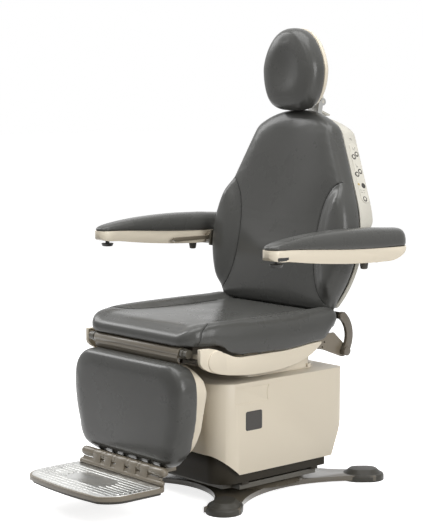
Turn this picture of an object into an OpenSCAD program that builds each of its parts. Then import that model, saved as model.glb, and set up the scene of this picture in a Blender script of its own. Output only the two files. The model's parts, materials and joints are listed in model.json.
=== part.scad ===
/* [Base] */
// Distance of each foot centre from the swivel axis, sideways
foot_x = 225; // [200:1:270]
// Distance of each foot centre from the swivel axis, front to back
foot_y = 275; // [240:1:330]
// Length of a rubber foot cap along its leg
foot_l = 125; // [105:1:150]
// Width of a rubber foot cap
foot_w = 100; // [85:1:120]
// Height of a rubber foot cap
foot_h = 32; // [28:1:40]
// Half width of the cross casting at its waist, sideways
waist_x = 160; // [150:1:175]
// Half length of the cross casting at its waist, front to back
waist_y = 185; // [176:1:205]
// Thickness of the cross casting
casting_t = 15; // [13:1:20]
// Radius of the raised disc that carries the bearing
disc_r = 172; // [160:1:180]

/* [Turntable and covers] */
// Thickness of the turntable plate
table_t = 14; // [10:1:18]
// Outer width of the base cover
cover_w = 428; // [400:1:470]
// Height of the top of the base cover above the floor
cover_top = 350; // [330:1:368]
// Height of the bottom edge of the base cover above the floor
cover_bottom = 89; // [80:1:100]
// Front face of the base cover, in front of the swivel axis
cover_front = 283; // [265:1:300]
// Rear face of the base cover, behind the swivel axis
cover_rear = 202; // [190:1:220]
// Wall of the moulded covers
cover_wall = 4; // [3:0.5:5]
// Width of the dark skirt under the base cover
skirt_w = 400; // [380:1:404]

/* [Lifting column] */
// Outer side of the square outer column tube
column_w = 150; // [130:1:170]
// Wall of each column tube
column_wall = 5; // [4:0.5:7]
// Full stroke of the seat lift
lift_stroke = 400; // [300:10:420]
// Width of the inner telescopic shroud
shroud_w = 332; // [300:1:340]
// Depth of the inner telescopic shroud
shroud_d = 277; // [250:1:285]

/* [Seat] */
// Height of the seat board's top, chair fully lowered
seat_z = 466; // [460:1:490]
// Greatest width of the seat cushion
seat_w = 544; // [520:1:580]
// Width of the seat cushion at its front edge
seat_front_w = 470; // [440:1:500]
// Front edge of the seat cushion, in front of the swivel axis
seat_front = 414; // [405:1:425]
// Rear edge of the seat cushion, behind the swivel axis
seat_rear = 142; // [130:1:150]
// Height of the side bolsters above the seat board
seat_h = 67; // [58:1:78]
// Distance between the outer faces of the two rear side plates
plate_span = 474; // [460:1:484]

/* [Back] */
// Length of the back cushion along its slope
back_h = 576; // [540:1:620]
// Lean of the back behind the vertical, in degrees
back_tilt = 9.6; // [6:0.2:14]
// Thickness of the back cushion at its sides
back_t = 56; // [48:1:64]
// Depth of the thin rear tray of the back
tray_d = 13; // [11:1:18]
// Depth of the upper housing of the back, behind the cushion
housing_d = 53; // [46:1:60]
// Outer radius of the side bulge of the back
bulge_r = 302; // [290:1:320]

/* [Headrest] */
// Width of the headrest
head_w = 222; // [200:1:240]
// Height of the headrest
head_h = 240; // [220:1:260]
// Depth of the headrest cushion
head_d = 62; // [52:1:72]

/* [Arms] */
// Distance between the centre lines of the two arms
arm_span = 740; // [725:1:780]
// Overall length of an arm
arm_l = 530; // [500:1:560]
// Width of an arm at its rear
arm_w = 84; // [74:1:92]
// Height of the arm seam above the floor
arm_z = 718; // [710:1:732]

/* [Legrest] */
// Greatest width of the legrest pad
leg_w = 486; // [470:1:500]
// Height of the top of the legrest pad above the floor
leg_top = 424; // [418:1:428]
// Height of the bottom of the legrest pad above the floor
leg_bottom = 141; // [139:1:158]
// Depth of the legrest pad
leg_t = 48; // [42:1:52]

/* [Footrest] */
// Length of the hinge bar across the legrest
hinge_l = 374; // [350:1:400]
// Outer diameter of the hinge bar
hinge_d = 27; // [24:0.5:30]
// Width of the footplate
tread_w = 396; // [384:1:420]
// Depth of the footplate from its hinge bar to its front edge
tread_d = 222; // [200:1:250]
// Number of ribs along the footplate
rib_count = 11; // [7:1:14]

/* [Hidden] */
$fn = 64;

// Colours
upholstery = [0.345, 0.345, 0.337];
beige = [0.855, 0.816, 0.737];
taupe = [0.478, 0.447, 0.392];
dark_taupe = [0.333, 0.314, 0.275];
rubber_black = [0.16, 0.155, 0.15];
steel = [0.62, 0.62, 0.61];
aluminium = [0.80, 0.80, 0.79];

// Common clearances
run_gap = 0.3;
pin_gap = 0.05;
soft_gap = 0.4;
lap = 1;
through = 20;

// Base casting, from the floor up
casting_z = 4;
leg_reach = 36;
foot_r = norm([foot_x, foot_y]);
foot_angle = atan2(foot_y, foot_x);
foot_shoulder = 12;
foot_round = 8;
foot_top_share = 0.28;
scallop_x_r = 354;
scallop_y_r = 215;
disc_slope = 14;
disc_h = 12;
race_h = 8;
race_wall = 18;
race_r = 150;
casting_top = casting_z + casting_t;
disc_top = casting_top + disc_h;
race_top = disc_top + race_h;

// Turntable
table_z = race_top + run_gap;
table_top = table_z + table_t;
table_half_w = skirt_w/2 - 10;
table_front = cover_front - 61;
table_rear = cover_rear - 58;
table_notch = 34;
hub_wall = 16;
hub_r = race_r - race_wall - pin_gap;
cable_r = 34;

// Swivel lock pedal behind the turntable
pedal_w = 36;
pedal_y = table_rear + 16;
pedal_z = table_z + table_t/2;
pedal_l = 70;
pedal_t = 8;
pedal_lug_t = 8;
pedal_lug_r = 6.5;
pedal_pin_r = 3.5;
pedal_pad_w = 70;
pedal_pad_l = 44;
pedal_pad_t = 4;
pedal_pad_r = 10;

// Skirt
skirt_gap = 8;
skirt_z = table_top + skirt_gap;
skirt_top = cover_bottom + 66;
skirt_front = cover_front - 17;
skirt_rear = cover_rear - 54;
skirt_front_r = 62;
skirt_rear_r = 18;
skirt_post = 26;
lug_w = 30;
lug_h = 12;
skirt_lug_shares = [-0.9, 0.35];

// Power inlet and control box
inlet_x = 90;
inlet_z = skirt_z + 14;
inlet_w = 28;
inlet_h = 20;
inlet_d = 24;
inlet_flange = 2;
box_x = 86;
box_w = 64;
box_l = 120;
box_h = 32;
box_r = 6;

// Base cover
cover_front_r = 74;
cover_rear_r = 26;
cover_edge_r = 16;
cover_crown = 12;
cover_apex = cover_top + 8;
cover_rear_cut_z = 124;
cover_rear_cut_d = 50;
arch_r = 57;
crease_depth = 1.6;
crease_drop = 62;
crease_disc_r = 46;
crease_disc_y = -60;
crease_disc_z = cover_top - 42;

// Lifting column
column_y = -12.5;
column_gap = 1.2;
column_step = 2*column_wall + column_gap;
column_r = 14;
column_mid_w = column_w - column_step;
column_in_w = column_mid_w - column_step;
column_out_top = cover_top - 12;
column_lift = 10;
shroud_wall = 3;
shroud_gap = 3;
shroud_r = 40;
shroud_mid_w = shroud_w + 2*(shroud_wall + shroud_gap);
shroud_mid_d = shroud_d + 2*(shroud_wall + shroud_gap);
shroud_mid_top = cover_top + 11;
shroud_low = 36;
shroud_notch_y = 20;
shroud_notch_w = 74;
shroud_notch_h = 9;
shroud_lip = 5;
screw_r = 12;
screw_lap = 35;
screw_tube_r = 18;
screw_wall = 4.3;
screw_x = 28;
motor_r = 26;
motor_l = 96;
gear_w = 86;
gear_h = 30;

// Seat frame
board_t = 9;
board_z = seat_z - board_t;
rail_h = 40;
rail_w = 25;
rail_x = 150;
frame_z = board_z - rail_h;
frame_front = seat_front - 42;
frame_rear = seat_rear - 16;
head_plate_t = 6;
cross_w = 24;
head_plate_l = 286;
front_bar_h = 29;
crank_notch = 10;
hanger_y = -190;
plate_bar_y = 60;
board_w = 436;
board_front_w = 410;
board_flare_y = 120;
board_hole_shares = [0.2, 0.75];
board_hole_r = 4;

// Seat cushion
seat_corner_r = 60;
seat_rear_w = 524;
seat_rear_r = 30;
seat_mid_h = 47;
seat_rear_drop = 16;
seat_dish_w = 330;
seat_dish_front = 300;
seat_bolster_run = 60;
seat_front_share = 0.25;
seat_edge_z = seat_z - 36;
seat_hang_front = 54;
seat_hang_rise = 120;
seat_hang_rear = 70;
seat_hang_run = 60;
seat_hang_share = 1.8;
seat_hang_ease = 0.3;
seat_hang_ease_from = -90;
seat_hang_ease_run = 160;
seat_step_x = 237;
seat_step_run = 8;

// Side covers of the seat
side_cover_x = 243;
side_cover_t = 12;
side_cover_wall = 3;
side_cover_front = -388;
side_cover_rear = 66;
side_cover_d = 60;
side_cover_shares = [0.17, 0.15, 0.46, 0.85];
side_cover_tip = 6;
cover_steps = 24;
cover_lug_z = seat_edge_z - 18;
cover_lug_front_z = seat_edge_z + 4;
boss_y = -330;
boss_z = seat_edge_z - 2;
boss_r = 30;
boss_proud = 3;

// Hinge lines
recline_y = 172;
recline_z = seat_z - 66;
recline_shaft_r = 9;
leg_y = 19 - seat_front;
leg_z = seat_z - 16;
leg_shaft_r = 8;
leg_tube_r = 15;
ear_x = 193;
ear_t = 9;
ear_r = 14;
leg_pin_l = 2*ear_x + 2*ear_t + 30;
leg_tube_l = 2*ear_x - 10;
leg_collar = 4;

// Rear side plates and curved links
plate_t = 6;
plate_x = plate_span/2 - plate_t;
plate_front = -40;
plate_nose_r = 18;
plate_belly = 8;
plate_hole_r = 3;
plate_holes = [[-84, 19], [-76, 33]];
link_x = plate_span/2 + 3;
link_t = 10;
link_w = 25;
link_r = 74;
link_centre = [recline_y - 58.6, recline_z + 45.4];
link_start = -37.8;
link_end = 51;
bolt_r = 13;
bolt_h = 6;

// Recline and leg drives: a rod with a slotted plate pushes the pin of each crank
recline_range = 72;
crank_r = 40;
crank_angle = recline_range/2;
crank_t = 6;
crank_gap = 11;
crank_pin_r = 5;
recline_pin = [recline_y - crank_r*sin(crank_angle), recline_z + crank_r*cos(crank_angle)];
recline_ram_z = recline_z + crank_r*(1 + cos(crank_angle))/2;
recline_slot_h = crank_r*(1 - cos(crank_angle)) + 2*crank_pin_r + 2*lap;
recline_rod_rear = 20;
leg_crank = [38, -40];
leg_crank_pin_r = 6;
leg_pin = [leg_y, leg_z] + leg_crank;
leg_pin_low = leg_z - norm(leg_crank);
leg_ram_z = (leg_pin.y + leg_pin_low)/2;
leg_slot_h = leg_pin.y - leg_pin_low + 2*leg_crank_pin_r + 2*lap;
leg_rod_rear = -200;
drive_r = 13;
drive_front = 140;
drive_rear = 100;
drive_ram_r = 6.5;
leg_drive_r = 17;
leg_drive_front = -330;
leg_drive_rear = -165;
leg_ram_r = 9;
fork_t = 10;
fork_wall = 6;
slot_slack = 2.2;

// Back, in its own frame: X across, Y to the rear, Z up the slope
back_y = 128;
back_z = seat_z + 57;
back_front = -back_t*0.57;
back_rear = 28;
bulge_c = [-12.7, 193];
back_foot_r = 24;
back_top_r = 280;
back_corner_r = 50;
back_corner_at = 58;
bulge_from = asin((back_foot_r - bulge_c.y)/(bulge_r - back_foot_r));
back_foot_x = bulge_c.x + (bulge_r - back_foot_r)*cos(bulge_from);
shoulder_c = [0, back_h - back_top_r] + (back_top_r - back_corner_r)*[cos(back_corner_at), sin(back_corner_at)];
shoulder_run = shoulder_c - bulge_c;
shoulder_at = atan2(shoulder_run.y, shoulder_run.x) - acos((bulge_r - back_corner_r)/norm(shoulder_run));
shoulder_n = [cos(shoulder_at), sin(shoulder_at)];
shoulder_low = bulge_c + bulge_r*shoulder_n;
shoulder_high = shoulder_c + back_corner_r*shoulder_n;
back_bolster_h = 20;
back_bolster_run = 60;
back_bolster_top = 300;
back_bolster_fade = 120;
back_seam_x = 165;
back_seam_flare = 90;
back_seam_mid = 190;
lumbar_h = 12;
lumbar_z = 150;
lumbar_run = 110;
back_hollow = 8;
back_hollow_run = 120;
housing_from = 238;
housing_r = 38;
housing_top = 560;
shell_wall = 4;
shell_inset = 5;
tube_x = 190;
tube_w = 22;
sleeve_w = 64;
sleeve_d = 22;
sleeve_h = 186;
sleeve_top = 540;
sleeve_y = back_rear + tray_d + 16;
tube_rear = back_rear + tray_d - shell_wall - run_gap;
frame_foot = 24;
frame_lap = 20;
frame_rise = 312;

// Key panel on the patient's left side wall of the housing
panel_t = 1.2;
panel_w = 34;
panel_mid_y = back_rear + tray_d + 20;
panel_mid_s = 90;
panel_l = 190;
panel_r = 16;
key_r = 5.5;
key_flange = 1.5;
key_flange_t = 1.5;
key_proud = 1.6;
key_body = 6;
rocker_step = [5.5, 7.5];
rocker_high = [145, 60];
rocker_low = [89, 58];
key_places = [rocker_high + rocker_step, rocker_high - rocker_step, rocker_low + rocker_step, rocker_low - rocker_step, [49, 66], [6, 60]];

// Headrest
post_w = 44;
post_t = 8;
post_l = 250;
post_clear = 0.3;
head_y = 220;
head_z = 1095;
head_egg = 0.16;
head_square = 0.82;
head_low_square = 0.62;
head_dish = 13;
head_dish_r = 46;
head_dish_ratio = 0.8;
head_swell = 3;
head_swell_at = 66;
head_shell_d = 32;
lower_hinge = [300, 1116];
upper_hinge = [282, 1200];
head_hinge_r = 11;
head_pin_r = 5;
head_ear_x = 15;
head_ear_t = 7;
head_ear_h = 40;
head_bar_w = 2*head_ear_x - 2*run_gap;

// A point of the side view, rearward and up, in the back's own frame
function in_back(p) = let (q = p - [back_y, back_z]) [q.x*cos(back_tilt) - q.y*sin(back_tilt), q.x*sin(back_tilt) + q.y*cos(back_tilt)];

lower_axis = in_back(lower_hinge);
lever_at = lower_axis - [3, 25];
lever_reach = [44, -9];
lever_r = 6;
lever_t = 5;
lever_w = 28;
lever_pin_r = 3;

// Arms
arm_tip_w = 58;
arm_tip_y = -260;
arm_front_y = arm_tip_y + arm_tip_w/2;
arm_run = arm_l - arm_tip_w/2 - arm_w/2;
arm_seam_rise = 13;
arm_seam_drop = 5;
arm_pad_h = 54;
arm_pad_tip_h = 12;
arm_pad_run_share = 0.72;
arm_pad_power = 1.7;
arm_rear_drop = 3;
arm_rear_share = 0.8;
arm_shell_h = 42.5;
arm_shell_tip_h = 18;
arm_heel = 46;
arm_heel_share = 0.3;
arm_belly_share = 1.05;
arm_wall = 3;
arm_pivot = [150, 690];
arm_axis = in_back(arm_pivot);
arm_pin_r = 7;
arm_hub_r = 19;
arm_rail_t = 8;
bracket_in = 200;
bracket_x = 306;
bracket_t = 6;
bracket_boss = 3;
bracket_low = arm_axis.y - 24;
bracket_high = arm_axis.y + 24;
rail_z = 694;
rail_depth = 12;
rail_front_y = -5;
rail_rear_y = 200;
stop_y = 116;
stop_r = 10;
stop_z = arm_z - 26;
stop_bar = 10;
stop_h = 36;
knob_y = arm_tip_y + 39;
knob_z = 684;
knob_r = 19;
knob_h = 9;
knob_stem_r = 6;
knob_stem_l = 26;
arm_slot_l = 34;
arm_slot_h = 7;

// Legrest
leg_back = leg_y - 4;
leg_low_w = 440;
leg_corner_r = 76;
leg_arm_x = 150;
leg_arm_w = 30;
leg_arm_t = 14;
leg_shell_d = 50;
leg_shell_wall = 3.5;
leg_shell_inset = 8;
leg_top_r = 72;
leg_flare = 10;
leg_belly = 2;
leg_toe = 14;
leg_toe_run = 30;
leg_swell = 5;
leg_bar_z = 156;
leg_bar_h = 16;
shell_notch_w = 52;
shell_notch_z = 374;
tongue_t = 12;
tongue_drop = 2;
hinge_y = leg_y - 55;
hinge_z = leg_bottom - 13;
hinge_rod_r = 6;
knuckle_gap = 0.6;
knuckle_neck = 4;
knuckle_edges = [24, 36, 74, 86, 126];
leg_knuckles = [[knuckle_edges[0], knuckle_edges[1]], [knuckle_edges[2], knuckle_edges[3]]];
foot_knuckles = [
  [-knuckle_neck, knuckle_edges[0] - knuckle_gap], [knuckle_edges[1] + knuckle_gap, knuckle_edges[2] - knuckle_gap],
  [knuckle_edges[3] + knuckle_gap, knuckle_edges[4] - knuckle_gap]
];

// Footrest
tray_t = 12;
tray_top = hinge_z - 34;
tray_rim = 7;
tray_back = 4;
tray_bar_r = 9;
tray_bar_y = hinge_y - 10;
tray_bar_z = tray_top + tray_bar_r - 3*lap;
tread_front_r = 90;
tread_bow = 18;
tread_bow_r = (tread_w*tread_w/4 + tread_bow*tread_bow)/(2*tread_bow);
tread_rear_r = 24;
tread_corner_r = 8;
tread_t = 5;
tread_rise = 2;
rib_w = 5;
rib_h = 1.6;
oval_r = 44;
oval_l = 90;
oval_y = 112 - tread_d + hinge_y;
rib_pitch = (tread_d - 50)/rib_count;
bumper_t = 9;
bumper_inset = 9;
bumper_band = 26;

// The middle of the whole chair's footprint lies at the origin
footprint_front = -hinge_y + tread_d;
footprint_rear = foot_y + (foot_l - foot_w)/2*sin(foot_angle) + foot_w/2;
centre_shift = (footprint_front - footprint_rear)/2;

// Shared shapes

// Moves the chair so that the middle of its footprint is at the origin
module chair() { translate([0, centre_shift, 0]) children(); }

// Draws its children on both sides of the chair
module both_sides() {
  children();
  mirror([1, 0, 0]) children();
}

// Draws its children on the patient's left, or mirrored on the right
module on_side(left) {
  if (left) children();
  else mirror([1, 0, 0]) children();
}

// A side outline (rearward, up) given its thickness t from x outwards
module across(x, t) { translate([x, 0, 0]) rotate([90, 0, 90]) linear_extrude(t) children(); }

// A front outline (sideways, up) given its depth d from y towards the rear
module rearward(y, d) { translate([0, y + d, 0]) rotate([90, 0, 0]) linear_extrude(d) children(); }

module rod_x(x0, x1, place, r) {
  translate([x0, place.x, place.y]) rotate([0, 90, 0]) cylinder(h = x1 - x0, r = r);
}

module rod_y(y0, y1, x, z, r) { translate([x, y1, z]) rotate([90, 0, 0]) cylinder(h = y1 - y0, r = r); }

// A box between two corners
module block(low, high) { translate(low) cube(high - low); }

// A rectangle between two corners, with round corners
module slab(low, high, r) {
  translate([low.x + r, low.y]) square([high.x - low.x - 2*r, high.y - low.y]);
  translate([low.x, low.y + r]) square([high.x - low.x, high.y - low.y - 2*r]);
  for (x = [low.x + r, high.x - r], y = [low.y + r, high.y - r]) translate([x, y]) circle(r);
}

// A plan centred on X whose front and rear corners have their own radii
module tub(x, front, rear, front_r, rear_r) {
  translate([-x, front + front_r]) square([2*x, rear - rear_r - front - front_r]);
  translate([front_r - x, front]) square([2*(x - front_r), front_r]);
  translate([rear_r - x, rear - rear_r]) square([2*(x - rear_r), rear_r]);
  for (s = [-1, 1]) {
    translate([s*(x - front_r), front + front_r]) circle(front_r);
    translate([s*(x - rear_r), rear - rear_r]) circle(rear_r);
  }
}

// A flat bar with round ends from p to q
module link(p, q, w) {
  d = q - p;
  translate(p) circle(w/2);
  translate(q) circle(w/2);
  translate(p) rotate(atan2(d.y, d.x)) translate([0, -w/2]) square([norm(d), w]);
}

// A tapered plan along Y with round ends of radius r0 at the origin and r1 at l
module taper(l, r0, r1) {
  a = asin((r1 - r0)/l);
  circle(r0);
  translate([0, l]) circle(r1);
  polygon([[r0*cos(a), -r0*sin(a)], [r1*cos(a), l - r1*sin(a)], [-r1*cos(a), l - r1*sin(a)], [-r0*cos(a), -r0*sin(a)]]);
}

function arc(c, r, from, to, n) = [for (i = [0:n]) let (a = from + (to - from)*i/n) c + r*[cos(a), sin(a)]];
function mix(p, q, t) = p + (q - p)*t;
function bezier(p, t) = len(p) == 1 ? p[0] : bezier([for (i = [0:len(p) - 2]) mix(p[i], p[i + 1], t)], t);
function curve(p, n) = [for (i = [0:n]) bezier(p, i/n)];
function mirrored(points) = [for (i = [len(points) - 1:-1:0]) [-points[i].x, points[i].y]];
function bump(d, width) = exp(-d*d/(width*width));
function smooth(t) = let (c = max(0, min(1, t))) c*c*(3 - 2*c);

// A padded form: rings over an outline's right half and its mirror image, each with its share of the outline and of the depth
module pad(half, centre, reach, rings, form) {
  outline = concat(half, mirrored([for (i = [1:len(half) - 2]) half[i]]));
  n = len(outline);
  m = len(rings);
  shell = [
    for (ring = rings)
      let (inset = (1 - ring[0])*min(reach.x, reach.y))
        for (p = outline)
          let (q = [p.x*(1 - inset/reach.x), centre.y + (p.y - centre.y)*(1 - inset/reach.y)])
            [q.x, q.y, form(q, ring[1])]
  ];
  ends = [for (ring = [rings[0], rings[m - 1]]) [centre.x, centre.y, form(centre, ring[1])]];
  sides = [
    for (k = [0:m - 2])
      for (i = [0:n - 1])
        let (j = (i + 1) % n)
          each [[k*n + i, k*n + n + i, k*n + n + j], [k*n + i, k*n + n + j, k*n + j]]
  ];
  floor_fan = [for (i = [0:n - 1]) [n*m, i, (i + 1) % n]];
  top_fan = [for (i = [0:n - 1]) [n*m + 1, n*(m - 1) + (i + 1) % n, n*(m - 1) + i]];
  polyhedron(points = concat(shell, ends), faces = concat(sides, floor_fan, top_fan));
}

// Rings of a padded form from the middle of its underside to the middle of its top: share of the width, share of the depth
pad_rings = [
  [0.45, 0], [0.8, 0], [0.872, 0], [0.9, 0], [0.97, 0.015], [0.99, 0.09], [1, 0.3], [0.995, 0.58],
  [0.978, 0.79], [0.945, 0.92], [0.89, 0.985], [0.78, 1], [0.6, 1], [0.32, 1]
];
round_rings = [
  [0.5, 0], [0.9, 0], [0.965, 0.04], [0.99, 0.18], [1, 0.38], [0.985, 0.58],
  [0.94, 0.77], [0.86, 0.91], [0.74, 0.98], [0.55, 1], [0.3, 1]
];
arm_rings = [[0.6, 0], [0.94, 0], [0.985, 0.06], [1, 0.22], [0.985, 0.45], [0.92, 0.68], [0.8, 0.86], [0.62, 0.96], [0.35, 1]];
shell_rings = [[0.3, 0], [0.6, 0.03], [0.8, 0.14], [0.91, 0.36], [0.97, 0.66], [0.985, 1], [0.6, 1]];

// Base

module casting_outline(grow) {
  difference() {
    circle(foot_r + leg_reach + grow, $fn = 180);
    for (s = [-1, 1]) {
      translate([s*(waist_x + scallop_x_r), 0]) circle(scallop_x_r - grow, $fn = 180);
      translate([0, s*(waist_y + scallop_y_r)]) circle(scallop_y_r - grow, $fn = 180);
    }
  }
}

module base_casting() {
  chair() color(dark_taupe) {
    translate([0, 0, casting_z]) linear_extrude(casting_t) casting_outline(0);
    translate([0, 0, casting_top]) cylinder(h = disc_h, r1 = disc_r + disc_slope, r2 = disc_r, $fn = 128);
  }
}

module foot_profile() {
  square([foot_w/2, foot_shoulder]);
  square([foot_w/2 - foot_round, foot_shoulder + foot_round]);
  translate([foot_w/2 - foot_round, foot_shoulder]) intersection() {
    circle(foot_round);
    square(foot_round);
  }
  translate([0, foot_shoulder + foot_round]) polygon([
    [0, 0], [foot_w/2 - foot_round, 0], [foot_w*foot_top_share, foot_h - foot_shoulder - foot_round],
    [0, foot_h - foot_shoulder - foot_round]
  ]);
}

module foot_cap() {
  reach = (foot_l - foot_w)/2;
  for (s = [-1, 1]) translate([s*reach, 0, 0]) rotate_extrude() foot_profile();
  across(-reach, 2*reach) {
    foot_profile();
    mirror([1, 0]) foot_profile();
  }
}

module foot_caps() {
  chair() color(rubber_black) difference() {
    for (sx = [-1, 1], sy = [-1, 1]) {
      translate([sx*foot_x, sy*foot_y, 0]) rotate(sx*sy*foot_angle) foot_cap();
    }
    translate([0, 0, casting_z - run_gap]) linear_extrude(casting_t + 2*run_gap) casting_outline(run_gap);
  }
}

module bearing_race() {
  chair() color(steel) translate([0, 0, disc_top]) difference() {
    cylinder(h = race_h, r = race_r);
    translate([0, 0, -lap]) cylinder(h = race_h + 2*lap, r = race_r - race_wall);
  }
}

module table_outline() {
  difference() {
    translate([-table_half_w, -table_front]) square([2*table_half_w, table_front + table_rear]);
    for (s = [-1, 1], y = [-table_front, table_rear]) {
      translate([s*table_half_w, y]) square(2*table_notch, center = true);
    }
  }
}

module turntable() {
  chair() color(dark_taupe) {
    difference() {
      translate([0, 0, table_z]) linear_extrude(table_t) table_outline();
      translate([0, 0, table_z - lap]) cylinder(h = table_t + 2*lap, r = cable_r);
    }
    translate([0, 0, disc_top + run_gap]) difference() {
      cylinder(h = race_h, r = hub_r);
      translate([0, 0, -lap]) cylinder(h = race_h + 2*lap, r = hub_r - hub_wall);
    }
    both_sides() across(pedal_w/2 + run_gap, pedal_lug_t) {
      link([table_rear - pedal_lug_r, pedal_z], [pedal_y, pedal_z], 2*pedal_lug_r);
    }
    rod_x(-pedal_w/2 - pedal_lug_t, pedal_w/2 + pedal_lug_t, [pedal_y, pedal_z], pedal_pin_r - pin_gap);
  }
}

module lock_pedal() {
  chair() color(rubber_black) difference() {
    union() {
      across(-pedal_w/2, pedal_w) {
        translate([pedal_y, pedal_z]) circle(pedal_lug_r);
        link([pedal_y, pedal_z], [pedal_y + pedal_l, pedal_z], pedal_t);
      }
      translate([0, pedal_y + pedal_l, pedal_z - pedal_t/2]) linear_extrude(pedal_t + pedal_pad_t) {
        slab([-pedal_pad_w/2, -pedal_pad_l/2], [pedal_pad_w/2, pedal_pad_l/2], pedal_pad_r);
      }
    }
    rod_x(-pedal_w, pedal_w, [pedal_y, pedal_z], pedal_pin_r);
  }
}

module skirt_outline(inset) {
  tub(skirt_w/2 - inset, inset - skirt_front, skirt_rear - inset, skirt_front_r - inset, skirt_rear_r - inset);
}

module base_skirt() {
  chair() color(dark_taupe) difference() {
    union() {
      translate([0, 0, skirt_z]) linear_extrude(skirt_top - skirt_z) difference() {
        skirt_outline(0);
        skirt_outline(cover_wall);
      }
      both_sides() for (y = skirt_lug_shares*skirt_rear) {
        block([skirt_w/2 - lap, y - lug_w/2, cover_bottom + lug_h], [cover_w/2 - cover_wall, y + lug_w/2, cover_bottom + 2*lug_h]);
      }
      both_sides() for (y = [-table_front + table_notch, table_rear - table_notch - skirt_post]) {
        block([shroud_mid_w/2 + 2*soft_gap, y, table_top], [skirt_w/2 - lap, y + skirt_post, table_top + 2*skirt_post]);
      }
    }
    translate([inlet_x, skirt_rear, inlet_z]) cube([inlet_w + pin_gap, 4*cover_wall, inlet_h + pin_gap], center = true);
  }
}

module cover_form(inset) {
  x = cover_w/2 - inset;
  front = inset - cover_front;
  rear = cover_rear - inset;
  top = cover_apex - inset;
  low = cover_bottom - 2*cover_rear_r;
  reach = cover_rear + cover_front;
  side_r = (x*x + cover_crown*cover_crown)/(2*cover_crown);
  long_r = (reach*reach/4 + cover_crown*cover_crown)/(2*cover_crown);
  intersection() {
    translate([0, 0, cover_bottom - inset]) linear_extrude(top - cover_bottom + 2*inset) {
      tub(x, front, rear, cover_front_r - inset, cover_rear_r - inset);
    }
    across(-cover_w/2, cover_w) difference() {
      intersection() {
        slab([front, low], [rear, top], cover_edge_r);
        translate([(rear + front)/2, top - long_r]) circle(long_r, $fn = 720);
      }
      polygon([
        [rear, cover_bottom + cover_rear_cut_z], [rear - cover_rear_cut_d, cover_bottom],
        [rear - cover_rear_cut_d, low], [rear + lap, low], [rear + lap, cover_bottom + cover_rear_cut_z]
      ]);
    }
    rearward(-cover_front, reach) intersection() {
      slab([-x, low], [x, top], cover_edge_r);
      translate([0, top - side_r]) circle(side_r, $fn = 720);
    }
  }
}

module cover_arch() {
  x = cover_w/2 - arch_r;
  translate([-x, cover_bottom - lap]) square([2*x, arch_r + lap]);
  for (s = [-1, 1]) translate([s*x, cover_bottom]) circle(arch_r);
}

module cover_crease() {
  difference() {
    slab([-cover_front, cover_top - crease_drop], [crease_disc_y, cover_top - cover_edge_r - lap], crease_depth);
    translate([crease_disc_y, crease_disc_z]) circle(crease_disc_r);
  }
}

module base_cover() {
  chair() color(beige) difference() {
    cover_form(0);
    cover_form(cover_wall);
    rearward(-cover_front - lap, cover_front_r + lap) cover_arch();
    translate([0, 0, cover_top - 2*through]) linear_extrude(3*through) shroud_outline(shroud_mid_w, shroud_mid_d, run_gap);
    both_sides() across(cover_w/2 - crease_depth, through) cover_crease();
  }
}

module power_inlet() {
  chair() color(rubber_black) difference() {
    union() {
      translate([inlet_x, skirt_rear - inlet_d/2, inlet_z]) cube([inlet_w, inlet_d, inlet_h], center = true);
      translate([inlet_x, skirt_rear + inlet_flange/2, inlet_z]) {
        cube([inlet_w + 3*inlet_flange, inlet_flange, inlet_h + 2*inlet_flange], center = true);
      }
    }
    translate([inlet_x, skirt_rear + inlet_flange, inlet_z]) {
      cube([inlet_w - 2*inlet_flange, inlet_d, inlet_h - 2*inlet_flange], center = true);
    }
  }
}

module control_box() {
  chair() color(steel) translate([0, 0, table_top]) linear_extrude(box_h) {
    slab([box_x, column_y - box_l/2], [box_x + box_w, column_y + box_l/2], box_r);
  }
}

// Lifting column and its shrouds

module shroud_outline(w, d, grow) {
  translate([0, column_y]) slab([-w/2 - grow, -d/2 - grow], [w/2 + grow, d/2 + grow], shroud_r + grow);
}

module square_tube(w, wall, low, high) {
  translate([0, column_y, low]) linear_extrude(high - low) difference() {
    slab([-w/2, -w/2], [w/2, w/2], column_r);
    slab([wall - w/2, wall - w/2], [w/2 - wall, w/2 - wall], column_r - wall);
  }
}

module column_outer() { chair() color(steel) square_tube(column_w, column_wall, table_top, column_out_top); }

module column_middle() {
  chair() color(steel) square_tube(column_mid_w, column_wall, table_top + column_lift, column_out_top + column_lift);
}

module column_inner() { chair() color(steel) square_tube(column_in_w, column_wall, table_top + 2*column_lift, frame_z); }

module shroud_tube(w, d, low, high) {
  translate([0, 0, low]) linear_extrude(high - low) difference() {
    shroud_outline(w, d, 0);
    shroud_outline(w, d, -shroud_wall);
  }
}

module shroud_middle() {
  low = table_top + shroud_low;
  chair() color(beige) difference() {
    union() {
      shroud_tube(shroud_mid_w, shroud_mid_d, low, shroud_mid_top);
      translate([0, 0, shroud_mid_top - shroud_lip]) linear_extrude(shroud_lip) difference() {
        shroud_outline(shroud_mid_w, shroud_mid_d, -lap);
        shroud_outline(shroud_w, shroud_d, run_gap);
      }
    }
    translate([0, 0, shroud_mid_top - shroud_notch_h]) {
      block([-shroud_mid_w, shroud_notch_y, 0], [shroud_mid_w, shroud_notch_y + shroud_notch_w, 2*shroud_notch_h]);
    }
  }
}

module shroud_inner() {
  low = table_top + shroud_low + shroud_lip;
  chair() color(beige) {
    shroud_tube(shroud_w, shroud_d, low, frame_z);
    translate([0, 0, low]) linear_extrude(shroud_lip) difference() {
      shroud_outline(shroud_w, shroud_d, shroud_gap - run_gap);
      shroud_outline(shroud_w, shroud_d, -lap);
    }
  }
}

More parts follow.
